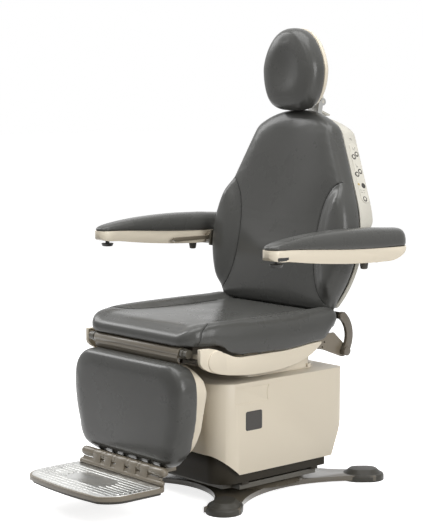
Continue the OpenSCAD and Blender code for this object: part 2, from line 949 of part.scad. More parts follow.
module lift_motor() {
  chair() color(steel) {
    translate([0, column_y, table_top + gear_h/2]) cube([gear_w, gear_w, gear_h], center = true);
    translate([screw_x, column_y, table_top + gear_h]) cylinder(h = lift_stroke/2 + screw_lap, r = screw_r);
    translate([-screw_x, column_y, table_top + gear_h]) cylinder(h = motor_l, r = motor_r);
  }
}

module sleeve_z(x, low, high, r, bore) {
  translate([x, column_y, low]) difference() {
    cylinder(h = high - low, r = r);
    translate([0, 0, -lap]) cylinder(h = high - low + 2*lap, r = bore);
  }
}

module lift_screw() {
  chair() color(steel) {
    sleeve_z(screw_x, table_top + gear_h + column_lift, column_out_top, screw_tube_r, screw_r + run_gap);
  }
}

module lift_tube() {
  chair() color(steel) {
    sleeve_z(screw_x, table_top + gear_h + 2*column_lift, frame_z, screw_tube_r + screw_wall, screw_tube_r + run_gap);
  }
}

// Seat

seat_half = concat(
  [[0, -seat_front], [seat_front_w/5, -seat_front]],
  arc([seat_front_w/2 - seat_corner_r, seat_corner_r - seat_front], seat_corner_r, -90, 0, 6),
  curve([[seat_front_w/2, seat_corner_r + lap - seat_front], [seat_w/2, -seat_front/2], [seat_w/2, 0], [seat_rear_w/2, seat_rear - seat_rear_r - lap]], 12),
  arc([seat_rear_w/2 - seat_rear_r, seat_rear - seat_rear_r], seat_rear_r, 0, 90, 5),
  [[seat_rear_w/4, seat_rear], [0, seat_rear]]
);

// How far the side edge hangs below the board at a place from front to rear
function seat_hang(y) =
  (board_z + board_t - seat_edge_z)*smooth((y + seat_front - seat_hang_front)/seat_hang_rise)
  *(1 - seat_hang_ease*smooth((y - seat_hang_ease_from)/seat_hang_ease_run))
  *(1 - smooth((y - seat_hang_rear)/seat_hang_run)*seat_hang_share);

// How much of the side bolster rises at a place
function seat_bolster(q) =
  smooth((abs(q.x) - seat_dish_w/2)/seat_bolster_run)*(1 - smooth(-(q.y + seat_dish_front)/seat_bolster_run)*seat_front_share);

function seat_top(q) =
  seat_z + seat_mid_h + (seat_h - seat_mid_h)*seat_bolster(q) - seat_rear_drop*smooth((q.y - seat_hang_rear)/seat_hang_run);

function seat_low(q) = seat_z - seat_hang(q.y)*smooth((abs(q.x) - seat_step_x)/seat_step_run);

function seat_surface(q, level) = mix(seat_low(q), seat_top(q), level);

module seat_cushion() {
  chair() color(upholstery) {
    pad(seat_half, [0, (seat_rear - seat_front)/2], [seat_w/2, (seat_rear + seat_front)/2], pad_rings, function (q, level) seat_surface(q, level));
  }
}

module seat_board() {
  chair() color(rubber_black) translate([0, 0, board_z]) linear_extrude(board_t) difference() {
    polygon([
      [-board_front_w/2, -frame_front], [board_front_w/2, -frame_front], [board_w/2, board_flare_y - frame_front],
      [board_w/2, frame_rear], [-board_w/2, frame_rear], [-board_w/2, board_flare_y - frame_front]
    ]);
    for (s = [-1, 1], y = board_hole_shares*frame_front) translate([s*rail_x, -y]) circle(board_hole_r);
  }
}

module ear_outline() {
  difference() {
    union() {
      translate([leg_y, leg_z]) circle(ear_r);
      translate([leg_y, leg_z - ear_r]) square([ear_r + 2*cross_w, ear_r]);
    }
    translate([leg_y - 2*ear_r, seat_z - soft_gap]) square(4*ear_r);
    translate([cross_w - frame_front, leg_z - 2*ear_r]) square(4*ear_r);
  }
}

module seat_frame() {
  chair() color(dark_taupe) difference() {
    union() {
      both_sides() {
        block([rail_x - rail_w/2, -frame_front, frame_z], [rail_x + rail_w/2, frame_rear, board_z]);
        block([rail_x, plate_bar_y, board_z - rail_w], [plate_x, plate_bar_y + cross_w, board_z]);
        across(ear_x, ear_t) ear_outline();
      }
      block([-rail_x, column_y - head_plate_l/2, frame_z], [rail_x, column_y + head_plate_l/2, frame_z + head_plate_t]);
      block([-ear_x - ear_t, -frame_front, board_z - front_bar_h], [ear_x + ear_t, cross_w - frame_front, board_z]);
      block([-rail_x, hanger_y, board_z - front_bar_h], [rail_x, hanger_y + cross_w, board_z]);
    }
    rod_x(-seat_w/2, seat_w/2, [leg_y, leg_z], leg_shaft_r);
    block([-crank_gap - 2*crank_t, -frame_front - lap, board_z - front_bar_h - lap], [crank_gap + 2*crank_t, cross_w + lap - frame_front, board_z - crank_notch]);
  }
}

module leg_shaft() {
  chair() color(steel) {
    rod_x(-leg_pin_l/2, leg_pin_l/2, [leg_y, leg_z], leg_shaft_r - pin_gap);
    both_sides() rod_x(ear_x + ear_t + run_gap, leg_pin_l/2, [leg_y, leg_z], leg_shaft_r + leg_collar);
  }
}

// The side cover's top edge follows the hanging edge of the cushion
module cover_side_outline(inset) {
  front = side_cover_front + inset;
  rear = side_cover_rear - 3*inset;
  low = seat_edge_z - side_cover_d + inset;
  top = [for (i = [0:cover_steps]) let (y = mix(front, rear, i/cover_steps)) [y, seat_z - seat_hang(y) - soft_gap - inset]];
  polygon(concat(top, curve([
    [rear, seat_z - seat_hang(rear) - soft_gap - side_cover_tip], [rear*side_cover_shares[0], low + side_cover_d/4],
    [front*side_cover_shares[1], low], [front*side_cover_shares[2], low], [front*side_cover_shares[3], low],
    [front, low + side_cover_d*2/3], [front, low + side_cover_d]
  ], 18)));
}

module seat_side_cover(left) {
  wall_x = side_cover_x + side_cover_t - side_cover_wall;
  chair() color(beige) on_side(left) {
    difference() {
      across(side_cover_x, side_cover_t) cover_side_outline(0);
      across(side_cover_x - lap, side_cover_t - side_cover_wall + lap) cover_side_outline(side_cover_wall);
    }
    across(wall_x, side_cover_wall + boss_proud) intersection() {
      translate([boss_y, boss_z]) circle(boss_r);
      cover_side_outline(lap);
    }
    block([plate_x + plate_t, plate_front + lap, cover_lug_z], [wall_x + lap, plate_front + lug_w, cover_lug_z + lug_h]);
    block([ear_x + ear_t, lap - frame_front, cover_lug_front_z], [wall_x + lap, cross_w - lap - frame_front, cover_lug_front_z + lug_h]);
  }
}

module seat_cover_left() { seat_side_cover(true); }

module seat_cover_right() { seat_side_cover(false); }

module plate_outline() {
  translate([recline_y, recline_z]) circle(plate_nose_r);
  polygon([
    [plate_front, board_z - run_gap], [plate_front, cover_lug_z - 2*lap], [frame_rear/2, seat_edge_z - plate_belly],
    [recline_y - plate_nose_r*0.4, recline_z - plate_nose_r*0.917], [recline_y + plate_nose_r*0.7, recline_z + plate_nose_r*0.714],
    [frame_rear + plate_nose_r/2, board_z - run_gap]
  ]);
}

module seat_plates() {
  chair() color(dark_taupe) both_sides() across(plate_x, plate_t) difference() {
    plate_outline();
    translate([recline_y, recline_z]) circle(recline_shaft_r + pin_gap);
    for (p = plate_holes) translate([recline_y, recline_z] + p) circle(plate_hole_r);
  }
}

// Drives under the seat

module crank_pair(pivot, pin, r) {
  both_sides() across(crank_gap, crank_t) link(pivot, pin, 2*(r + crank_t));
  rod_x(-crank_gap - crank_t, crank_gap + crank_t, pin, r);
}

// A rod ending in a plate with an upright slot for the crank pin
module ram(pin, pin_r, from, to, z, rod_r, slot_h) {
  slot = [pin_r + slot_slack, slot_h/2];
  wall = [fork_wall, fork_wall];
  rod_y(from, to, 0, z, rod_r);
  across(-fork_t/2, fork_t) translate([pin.x, z]) difference() {
    square(2*(slot + wall), center = true);
    square(2*slot, center = true);
  }
}

module drive(front, rear, bore_front, bore_rear, z, r, bore) {
  difference() {
    rod_y(front, rear, 0, z, r);
    rod_y(bore_front, bore_rear, 0, z, bore);
  }
}

module recline_ram() {
  chair() color(steel) {
    ram(recline_pin, crank_pin_r, recline_rod_rear, recline_pin.x - crank_pin_r - slot_slack - lap, recline_ram_z, drive_ram_r, recline_slot_h);
  }
}

module recline_motor() {
  chair() color(steel) {
    drive(-drive_front, drive_rear, recline_rod_rear - 2*lap, drive_rear + lap, recline_ram_z, drive_r, drive_ram_r + run_gap);
    block([-drive_r, -drive_front, frame_z + head_plate_t], [2*drive_r, 2*drive_r - drive_front, recline_ram_z + drive_r]);
  }
}

module leg_ram() {
  chair() color(steel) {
    ram(leg_pin, leg_crank_pin_r, leg_pin.x + leg_crank_pin_r + slot_slack + lap, leg_rod_rear, leg_ram_z, leg_ram_r, leg_slot_h);
  }
}

module leg_motor() {
  chair() color(steel) {
    drive(leg_drive_front, leg_drive_rear, leg_drive_front - lap, leg_rod_rear + 2*lap, leg_ram_z, leg_drive_r, leg_ram_r + run_gap);
    block([-leg_drive_r/2, hanger_y, leg_ram_z + leg_drive_r*0.8], [leg_drive_r/2, hanger_y + cross_w, board_z - front_bar_h]);
  }
}

// Back

// Places its children in the back's own frame
module on_back() { chair() translate([0, back_y, back_z]) rotate([-back_tilt, 0, 0]) children(); }

// An outline across and up the slope, given its depth d from w to the rear
module deep(w, d) { rearward(w, d) children(); }

module curved_link() {
  difference() {
    translate(link_centre) circle(link_r + link_w/2);
    translate(link_centre) circle(link_r - link_w/2);
    translate(link_centre) rotate(link_end) translate([-2*link_r, 0]) square([4*link_r, 2*link_r]);
    translate(link_centre) rotate(link_start - 180) translate([-2*link_r, 0]) square([4*link_r, 2*link_r]);
  }
  for (a = [link_start, link_end]) translate(link_centre + link_r*[cos(a), sin(a)]) circle(link_w/2);
}

module back_links() {
  chair() color(taupe) {
    both_sides() {
      across(link_x, link_t) curved_link();
      rod_x(link_x + link_t - lap, link_x + link_t + bolt_h, [recline_y, recline_z], bolt_r);
    }
    rod_x(-link_x - link_t, link_x + link_t, [recline_y, recline_z], recline_shaft_r);
    crank_pair([recline_y, recline_z], recline_pin, crank_pin_r);
  }
}

// Front outline of the back, drawn in by an inset: bulging sides, straight shoulders, a domed top
module back_plan(inset) {
  low = bulge_c.y + bulge_r*sin(bulge_from);
  a = shoulder_low - inset*shoulder_n;
  b = shoulder_high - inset*shoulder_n;
  chord = back_top_r*[cos(back_corner_at), sin(back_corner_at)];
  intersection() {
    translate(bulge_c) circle(bulge_r - inset, $fn = 180);
    translate([-bulge_c.x, bulge_c.y]) circle(bulge_r - inset, $fn = 180);
    translate([-bulge_r, low]) square([2*bulge_r, a.y - low]);
  }
  translate([-back_foot_x, inset]) square([2*back_foot_x, back_foot_r]);
  for (s = [-1, 1]) {
    translate([s*back_foot_x, back_foot_r]) circle(back_foot_r - inset);
    translate([s*shoulder_c.x, shoulder_c.y]) circle(back_corner_r - inset);
  }
  polygon([
    [-a.x, a.y - lap], [a.x, a.y - lap], a, b, [chord.x - inset, back_h - back_top_r + chord.y - inset],
    [inset - chord.x, back_h - back_top_r + chord.y - inset], [-b.x, b.y], [-a.x, a.y]
  ]);
  intersection() {
    translate([0, back_h - back_top_r]) circle(back_top_r - inset, $fn = 180);
    translate([-chord.x + inset, shoulder_c.y]) square([2*(chord.x - inset), back_h]);
  }
}

back_half = concat(
  [[0, 0], [back_foot_x/2, 0]],
  arc([back_foot_x, back_foot_r], back_foot_r, -90, bulge_from, 4),
  arc(bulge_c, bulge_r, bulge_from + 3, shoulder_at - 3, 12),
  [mix(shoulder_low, shoulder_high, 0.15), mix(shoulder_low, shoulder_high, 0.6)],
  arc(shoulder_c, back_corner_r, shoulder_at, back_corner_at, 4),
  arc([0, back_h - back_top_r], back_top_r, back_corner_at + 5, 90, 5)
);

// How much of the side bolster swells at a place on the back
function back_bolster(q) =
  smooth((abs(q.x) - back_seam(q.y))/back_bolster_run)*(1 - smooth((q.y - back_bolster_top)/back_bolster_fade));

// Where the seam of the bolster runs, out from the middle
function back_seam(y) = back_seam_x + back_seam_flare*pow(abs(y - back_seam_mid)/back_seam_mid, 4);

function back_relief(q) =
  back_bolster_h*back_bolster(q) + lumbar_h*bump(q.y - lumbar_z, lumbar_run)*bump(q.x, lumbar_run)
  - back_hollow*bump(q.x, back_hollow_run)*smooth((q.y - lumbar_z)/back_hollow_run);

module back_cushion() {
  on_back() color(upholstery) rotate([90, 0, 0]) {
    pad(back_half, [0, back_h/2], [bulge_r, back_h/2], pad_rings, function (q, level) mix(-back_rear, -back_front + back_relief(q), level));
  }
}

// The upper housing in side view: straight walls with large round corners
module housing_side(inset) { slab([-back_rear, housing_from + inset], [back_rear + housing_d - inset, housing_top - inset], housing_r - inset); }

module back_shell() {
  on_back() color(beige) difference() {
    union() {
      deep(back_rear + run_gap, tray_d - run_gap) back_plan(shell_inset);
      intersection() {
        deep(back_rear + run_gap, housing_d - run_gap) back_plan(shell_inset);
        across(-bulge_r, 2*bulge_r) housing_side(0);
      }
    }
    deep(back_rear - lap, tray_d - shell_wall + lap) back_plan(shell_inset + shell_wall);
    intersection() {
      deep(back_rear - lap, housing_d - shell_wall + lap) back_plan(shell_inset + shell_wall);
      across(-bulge_r, 2*bulge_r) housing_side(shell_wall);
    }
    both_sides() block([tube_x - tube_w/2 - pin_gap, back_rear - lap, -lap], [tube_x + tube_w/2 + pin_gap, tube_rear + pin_gap, shell_inset + shell_wall + lap]);
    block([-post_w/2 - lap, sleeve_y - post_t/2 - lap, housing_top - 4*shell_wall], [post_w/2 + lap, sleeve_y + post_t/2 + lap, back_h]);
    for (k = key_places) on_facet(k[0], k[1]) translate([0, 0, -through]) cylinder(h = 2*through, r = key_r + run_gap);
  }
}

// Places its children on the shoulder facet at s up the facet and w to the rear, with +Z outwards
module on_facet(s, w) {
  p = shoulder_low - shell_inset*shoulder_n + s*[-sin(shoulder_at), cos(shoulder_at)];
  translate([p.x, w, p.y]) rotate([0, 90 - shoulder_at, 0]) children();
}

module back_frame() {
  on_back() color(steel) difference() {
    union() {
      both_sides() {
        block([tube_x - tube_w/2, back_rear + 2*run_gap, -frame_foot], [tube_x + tube_w/2, tube_rear, frame_rise]);
      }
      block([-link_x, back_rear + 2*run_gap, -frame_foot], [link_x, back_rear + tray_d, frame_lap - frame_foot]);
      block([-tube_x, back_rear + 2*run_gap, frame_rise - frame_lap], [tube_x, tube_rear, frame_rise]);
      block([-sleeve_w/2, back_rear + 2*run_gap, frame_rise - lap], [sleeve_w/2, tube_rear, sleeve_top]);
      block([-sleeve_w/2, sleeve_y - sleeve_d/2, sleeve_top - sleeve_h], [sleeve_w/2, sleeve_y + sleeve_d/2, sleeve_top]);
      for (z = [sleeve_top - sleeve_h, sleeve_top - frame_lap]) {
        block([-sleeve_w/2, tube_rear - lap, z], [sleeve_w/2, sleeve_y, z + frame_lap]);
      }
    }
    block([-post_w/2 - post_clear, sleeve_y - post_t/2 - post_clear, sleeve_top - sleeve_h - lap], [post_w/2 + post_clear, sleeve_y + post_t/2 + post_clear, sleeve_top + lap]);
  }
}

module arm_brackets() {
  on_back() color(dark_taupe) both_sides() {
    block([bracket_in, back_rear + tray_d, bracket_low], [bracket_x, back_rear + tray_d + bracket_t, bracket_high]);
    block([bracket_x - bracket_t, arm_axis.x - arm_hub_r, bracket_low], [bracket_x, back_rear + tray_d + bracket_t, bracket_high]);
    rod_x(bracket_x - lap, arm_span/2, arm_axis, arm_pin_r);
    rod_x(bracket_x - lap, bracket_x + bracket_boss, arm_axis, arm_hub_r);
  }
}

module key_panel() {
  on_back() color(aluminium) on_facet(panel_mid_s, panel_mid_y) difference() {
    linear_extrude(panel_t) slab([-panel_l/2, -panel_w/2], [panel_l/2, panel_w/2], panel_r);
    for (k = key_places) translate([panel_mid_s - k[0], k[1] - panel_mid_y, -lap]) cylinder(h = panel_t + 2*lap, r = key_r + run_gap);
  }
}

module key(n) {
  on_back() color(rubber_black) on_facet(key_places[n][0], key_places[n][1]) {
    translate([0, 0, -key_body]) cylinder(h = key_body + panel_t + key_proud, r = key_r);
    translate([0, 0, -key_body - key_flange_t]) cylinder(h = key_flange_t, r = key_r + key_flange);
  }
}

module key_lift_up() { key(0); }

module key_lift_down() { key(1); }

module key_back_up() { key(2); }

module key_back_down() { key(3); }

module key_exit() { key(4); }

module key_stop() { key(5); }

// Headrest

module headrest_post() {
  on_back() color(steel) {
    block([-post_w/2, sleeve_y - post_t/2, lower_axis.y - post_l], [post_w/2, sleeve_y + post_t/2, lower_axis.y - head_hinge_r - 2*lap]);
    rod_x(-head_ear_x - lap, head_ear_x + lap, lever_at, lever_pin_r - pin_gap);
    both_sides() across(head_ear_x, head_ear_t) difference() {
      union() {
        translate(lower_axis) circle(head_hinge_r);
        translate([sleeve_y - post_t/2, lower_axis.y - head_ear_h]) square([lower_axis.x - sleeve_y + post_t/2, head_ear_h]);
      }
      translate(lower_axis) circle(head_pin_r + pin_gap);
    }
  }
}

module headrest_link() {
  chair() color(dark_taupe) {
    across(-head_bar_w/2, head_bar_w) link(lower_hinge, upper_hinge, 2*head_hinge_r - lap);
    rod_x(-head_ear_x - head_ear_t, head_ear_x + head_ear_t, lower_hinge, head_pin_r);
    rod_x(-head_ear_x - head_ear_t, head_ear_x + head_ear_t, upper_hinge, head_pin_r);
    rod_x(-head_ear_x + run_gap, head_ear_x - run_gap, lower_hinge, head_hinge_r - lap/2);
    rod_x(-head_ear_x + run_gap, head_ear_x - run_gap, upper_hinge, head_hinge_r - lap/2);
  }
}

function head_point(a) = [head_w/2*pow(max(0, cos(a)), a < 0 ? head_low_square : head_square)*(1 - head_egg*max(0, sin(a))), head_h/2*sin(a)];

head_half = [for (i = [0:24]) head_point(i*7.5 - 90)];

function head_relief(q) = -head_dish*bump(norm([q.x, q.y*head_dish_ratio]), head_dish_r) + head_swell*bump(norm(q) - head_swell_at, head_dish_r/2);

module headrest_cushion() {
  chair() color(upholstery) translate([0, head_y, head_z + head_h/2]) rotate([90, 0, 0]) {
    pad(head_half, [0, 0], [head_w/2, head_h/2], round_rings, function (q, level) mix(run_gap, head_d + head_relief(q), level));
  }
}

module headrest_shell() {
  chair() color(beige) {
    translate([0, head_y, head_z + head_h/2]) rotate([90, 0, 0]) {
      pad(head_half, [0, 0], [head_w/2, head_h/2], shell_rings, function (q, level) head_shell_d*(level - 1));
    }
    both_sides() across(head_ear_x, head_ear_t) difference() {
      union() {
        translate(upper_hinge) circle(head_hinge_r);
        translate([head_y + head_shell_d/2, upper_hinge.y - head_hinge_r]) {
          square([upper_hinge.x - head_y - head_shell_d/2, 2*head_hinge_r]);
        }
      }
      translate(upper_hinge) circle(head_pin_r + pin_gap);
    }
  }
}

// The release lever of the headrest sits on its post, under the link
module headrest_lever() {
  on_back() color(rubber_black) difference() {
    union() {
      rod_x(-lever_w/2, lever_w/2, lever_at, lever_r);
      across(-lever_w/2, lever_w) link(lever_at, lever_at + lever_reach, lever_t);
    }
    rod_x(-lever_w, lever_w, lever_at, lever_pin_r);
  }
}

// Arms

arm_half = concat(
  arc([0, 0], arm_tip_w/2, -90, 0, 5),
  curve([[arm_tip_w/2, lap], [arm_w*0.5, arm_run*0.3], [arm_w*0.52, arm_run*0.75], [arm_w/2, arm_run - lap]], 7),
  arc([0, arm_run], arm_w/2, 0, 90, 5)
);

function arm_seam(y) = arm_z + arm_seam_rise*pow(smooth(1 - y/arm_run), 2) - arm_seam_drop*y/arm_run;

function arm_top(q) =
  let (u = max(0, min(1, (q.y + arm_tip_w/2)/(arm_run*arm_pad_run_share))))
    arm_pad_h - (arm_pad_h - arm_pad_tip_h)*pow(1 - u, arm_pad_power) - arm_rear_drop*smooth((q.y/arm_run - arm_rear_share)/(1 - arm_rear_share));

module arm_pad(left) {
  chair() color(upholstery) on_side(left) translate([arm_span/2, arm_front_y, 0]) {
    pad(arm_half, [0, arm_run/2 + (arm_w - arm_tip_w)/4], [arm_w/2, arm_l/2], arm_rings, function (q, level) arm_seam(q.y) + soft_gap + level*arm_top(q));
  }
}

module arm_pad_left() { arm_pad(true); }

module arm_pad_right() { arm_pad(false); }

// The arm shell in side view, its belly curving up at both ends
module arm_side(inset) {
  rear = arm_run + arm_w/2 - inset;
  tip = inset - arm_tip_w/2;
  low = arm_z - arm_shell_h + inset;
  chin = arm_z - arm_shell_tip_h + inset;
  seam = [for (i = [0:cover_steps]) let (y = mix(-arm_tip_w/2, arm_run + arm_w/2, i/cover_steps)) [y + inset*(1 - 2*i/cover_steps), arm_seam(y)]];
  heel_curve = curve([
    [rear, arm_seam(arm_run) - lap], [rear - arm_heel/2, arm_z - arm_shell_h*arm_heel_share + inset], [rear - arm_heel, low], [rear - 2*arm_heel, low]
  ], 8);
  belly_curve = curve([[rear - 2*arm_heel - lap, low], [arm_run/2, arm_z - arm_shell_h*arm_belly_share + inset], [arm_tip_w/2, chin]], 10);
  chin_curve = curve([[arm_tip_w/2 - lap, chin], [-arm_tip_w/4, chin], [tip, chin + arm_wall], [tip, arm_seam(0) - arm_shell_tip_h/2]], 8);
  polygon(concat(seam, heel_curve, belly_curve, chin_curve));
}

module arm_hollow(inset) {
  intersection() {
    translate([0, 0, arm_z - 2*arm_shell_h]) linear_extrude(3*arm_shell_h) taper(arm_run, arm_tip_w/2 - inset, arm_w/2 - inset);
    across(-arm_w, 2*arm_w) arm_side(inset);
  }
}

module arm_shell(left) {
  chair() color(beige) on_side(left) translate([arm_span/2, arm_front_y, 0]) difference() {
    arm_hollow(0);
    translate([0, 0, arm_wall]) arm_hollow(arm_wall);
    translate([0, knob_y - arm_front_y, arm_z - arm_shell_h]) cylinder(h = 2*arm_shell_h, r = knob_stem_r + run_gap);
    translate([0, knob_y - arm_front_y - arm_slot_l/2, arm_z - arm_slot_h - 2*arm_wall]) cube([arm_w, arm_slot_l, arm_slot_h]);
    translate([0, stop_y - arm_front_y, arm_z - 2*arm_shell_h]) cylinder(h = 2*arm_shell_h, r = stop_r + run_gap);
    rod_x(-arm_w, arm_w/4, [arm_pivot.x - arm_front_y, arm_pivot.y], arm_hub_r + run_gap);
  }
}

module arm_shell_left() { arm_shell(true); }

module arm_shell_right() { arm_shell(false); }

// The rail carries the shell: its hub turns on the pin of the back's bracket
module arm_rail(left) {
  rail_x0 = bracket_x + bracket_boss + run_gap;
  chair() color(taupe) on_side(left) {
    difference() {
      union() {
        across(rail_x0, arm_rail_t) link([rail_front_y, rail_z], [rail_rear_y, rail_z], rail_depth);
        across(rail_x0, arm_rail_t) link(arm_pivot, [arm_pivot.x, rail_z], 2*arm_hub_r);
        rod_x(rail_x0, arm_span/2 + arm_w/5, arm_pivot, arm_hub_r);
        across(arm_span/2 - stop_r, 2*stop_r) link(arm_pivot, [stop_y, stop_z], stop_bar);
      }
      rod_x(bracket_x, arm_span/2 + lap, arm_pivot, arm_pin_r + pin_gap);
    }
    translate([arm_span/2, stop_y, stop_z - stop_h]) cylinder(h = stop_h, r = stop_r);
  }
}

module arm_rail_left() { arm_rail(true); }

module arm_rail_right() { arm_rail(false); }

module arm_knob(left) {
  chair() color(rubber_black) on_side(left) translate([arm_span/2, knob_y, knob_z]) {
    cylinder(h = knob_h, r1 = knob_r*0.8, r2 = knob_r);
    cylinder(h = knob_h + knob_stem_l, r = knob_stem_r);
  }
}

module arm_knob_left() { arm_knob(true); }

module arm_knob_right() { arm_knob(false); }

// Legrest

leg_half = concat(
  [[0, leg_bottom], [leg_low_w/4, leg_bottom]],
  arc([leg_low_w/2 - leg_corner_r, leg_bottom + leg_corner_r], leg_corner_r, -90, -leg_flare, 5),
  curve([
    [leg_low_w/2, leg_bottom + leg_corner_r + lap], [leg_w/2 - leg_belly, mix(leg_bottom, leg_top, 0.45)],
    [leg_w/2, mix(leg_bottom, leg_top, 0.6)], [leg_w/2 - lap, leg_top - leg_top_r - lap]
  ], 7),
  arc([leg_w/2 - leg_top_r - lap, leg_top - leg_top_r], leg_top_r, leg_flare, 90, 5),
  [[leg_w/4, leg_top], [0, leg_top]]
);

function leg_surface(q, level) =
  level*(leg_t - leg_toe*smooth((leg_bottom + leg_toe_run - q.y)/leg_toe_run) + leg_swell*bump(q.x, leg_w/2)*bump(q.y - (leg_bottom + leg_top)/2, leg_w/4));

module leg_pad() {
  chair() color(upholstery) translate([0, leg_back, 0]) rotate([90, 0, 0]) {
    pad(leg_half, [0, (leg_bottom + leg_top)/2], [leg_w/2, (leg_top - leg_bottom)/2], pad_rings, function (q, level) leg_surface(q, level));
  }
}

module leg_plan(inset) {
  low = [leg_low_w/2 - leg_shell_inset/2 - leg_corner_r, leg_bottom + leg_shell_inset + leg_corner_r];
  top = [leg_w/2 - leg_shell_inset - leg_corner_r, leg_top - leg_shell_inset - leg_corner_r];
  lean = atan2(low.x - top.x, top.y - low.y);
  r = leg_corner_r - inset;
  half = concat(arc(low, r, -90, lean, 14), arc(top, r, lean, 90, 16));
  polygon(concat(half, mirrored(half)));
}

module leg_side(inset) {
  polygon([
    [leg_back, leg_top], [leg_back + leg_shell_d*0.35, leg_top], [leg_back + leg_shell_d*0.9 - inset, leg_top - leg_shell_d],
    [leg_back + leg_shell_d - inset, leg_top - 1.6*leg_shell_d], [leg_back + leg_shell_d*0.86 - inset, leg_bottom + 1.9*leg_shell_d],
    [leg_back + leg_shell_d*0.45 - inset, leg_bottom + leg_shell_d*0.7], [leg_back + leg_shell_d*0.2 - inset, leg_bottom],
    [leg_back - inset, leg_bottom]
  ]);
}

module leg_shell_form(inset) {
  intersection() {
    rearward(leg_back + soft_gap - inset, leg_shell_d + inset) leg_plan(inset);
    across(-leg_w, 2*leg_w) leg_side(inset);
  }
}

module leg_shell() {
  chair() color(beige) difference() {
    leg_shell_form(0);
    leg_shell_form(leg_shell_wall);
    block([-shell_notch_w/2, leg_back - lap, shell_notch_z], [shell_notch_w/2, leg_back + 2*leg_shell_d, leg_top + lap]);
    both_sides() block([leg_arm_x - leg_arm_w/2 - run_gap, leg_back - lap, leg_top - leg_shell_d], [leg_arm_x + leg_arm_w/2 + run_gap, leg_back + leg_arm_t + run_gap, leg_top + lap]);
    both_sides() block([-lap, leg_back - lap, 0], [leg_arm_x + leg_arm_w/2 + run_gap, leg_back + leg_arm_t + run_gap, leg_bar_z + leg_bar_h/2]);
  }
}

// A hinge barrel along X whose outer end is domed
module barrel(x0, x1, r) {
  rod_x(x0, x1 - r, [hinge_y, hinge_z], r);
  translate([x1 - r, hinge_y, hinge_z]) sphere(r);
}

module leg_frame() {
  chair() color(taupe) difference() {
    union() {
      rod_x(-leg_tube_l/2, leg_tube_l/2, [leg_y, leg_z], leg_tube_r);
      leg_cranks();
      rod_x(-hinge_l/2 + hinge_d, hinge_l/2 - hinge_d, [hinge_y, hinge_z], hinge_rod_r);
      both_sides() {
        block([leg_arm_x - leg_arm_w/2, leg_back, leg_bar_z], [leg_arm_x + leg_arm_w/2, leg_back + leg_arm_t, leg_z]);
        barrel(knuckle_edges[4], hinge_l/2, hinge_d/2);
        for (k = leg_knuckles) rod_x(k[0], k[1], [hinge_y, hinge_z], hinge_d/2);
        for (k = concat(leg_knuckles, [[knuckle_edges[4], leg_arm_x]])) {
          block([k[0], hinge_y, hinge_z - tongue_t/2 - tongue_drop], [k[1], leg_back + lap, hinge_z + tongue_t/2 - tongue_drop]);
        }
      }
      block([-leg_arm_x, leg_back, hinge_z - tongue_t/2 - tongue_drop], [leg_arm_x, leg_back + leg_arm_t, leg_bar_z + leg_bar_h]);
    }
    rod_x(-leg_tube_l, leg_tube_l, [leg_y, leg_z], leg_shaft_r);
  }
}

module leg_cranks() { crank_pair([leg_y, leg_z], leg_pin, leg_crank_pin_r); }

// Footrest

// Keeps what lies behind the bowed front edge of the footplate
module bowed(inset) {
  intersection() {
    children();
    translate([0, tread_bow_r - footprint_front]) circle(tread_bow_r - inset, $fn = 720);
  }
}

module tray_plan(inset) {
  rear_r = max(lap, tread_rear_r - inset);
  bowed(inset) tub(tread_w/2 - inset, inset - footprint_front, hinge_y - tray_back - inset, tread_front_r - inset, rear_r);
}

module tread_plan(inset) {
  x = tread_w/2 - tray_rim - inset;
  rear = tray_bar_y - tray_bar_r - lap - inset;
  bowed(tray_rim + inset) tub(x, tray_rim + inset - footprint_front, rear, tread_front_r - tray_rim - inset, tread_corner_r);
}

module footrest_tray() {
  chair() color(taupe) difference() {
    union() {
      translate([0, 0, tray_top - tray_t]) linear_extrude(tray_t) tray_plan(0);
      rod_x(-hinge_l/2 + tray_bar_r, hinge_l/2 - tray_bar_r, [tray_bar_y, tray_bar_z], tray_bar_r);
      both_sides() {
        translate([hinge_l/2 - tray_bar_r, tray_bar_y, tray_bar_z]) sphere(tray_bar_r);
        for (k = foot_knuckles) {
          rod_x(k[0], k[1], [hinge_y, hinge_z], hinge_d/2);
          across(k[0] + knuckle_neck, k[1] - k[0] - 2*knuckle_neck) link([hinge_y - hinge_d/4, hinge_z], [tray_bar_y, tray_bar_z], 2*tray_bar_r*0.8);
        }
      }
    }
    translate([0, 0, tray_top - tread_t + tread_rise]) linear_extrude(tray_t) tread_plan(0);
    rod_x(-hinge_l/2, hinge_l/2, [hinge_y, hinge_z], hinge_rod_r + pin_gap);
  }
}

module footrest_tread() {
  chair() color(aluminium) {
    translate([0, 0, tray_top - tread_t + tread_rise]) linear_extrude(tread_t) tread_plan(run_gap);
    translate([0, 0, tray_top + tread_rise - lap]) linear_extrude(rib_h + lap) difference() {
      intersection() {
        tread_plan(2*rib_w);
        for (i = [0:rib_count - 1]) {
          translate([-tread_w/2, rib_w - footprint_front + tray_rim + rib_w + i*rib_pitch]) square([tread_w, rib_w]);
        }
      }
      translate([-oval_l/2, oval_y]) circle(oval_r);
      translate([oval_l/2, oval_y]) circle(oval_r);
      translate([-oval_l/2, oval_y - oval_r]) square([oval_l, 2*oval_r]);
    }
  }
}

module footrest_bumper() {
  chair() color(rubber_black) translate([0, 0, tray_top - tray_t - bumper_t]) linear_extrude(bumper_t) difference() {
    tray_plan(bumper_inset);
    tray_plan(bumper_inset + bumper_band);
  }
}

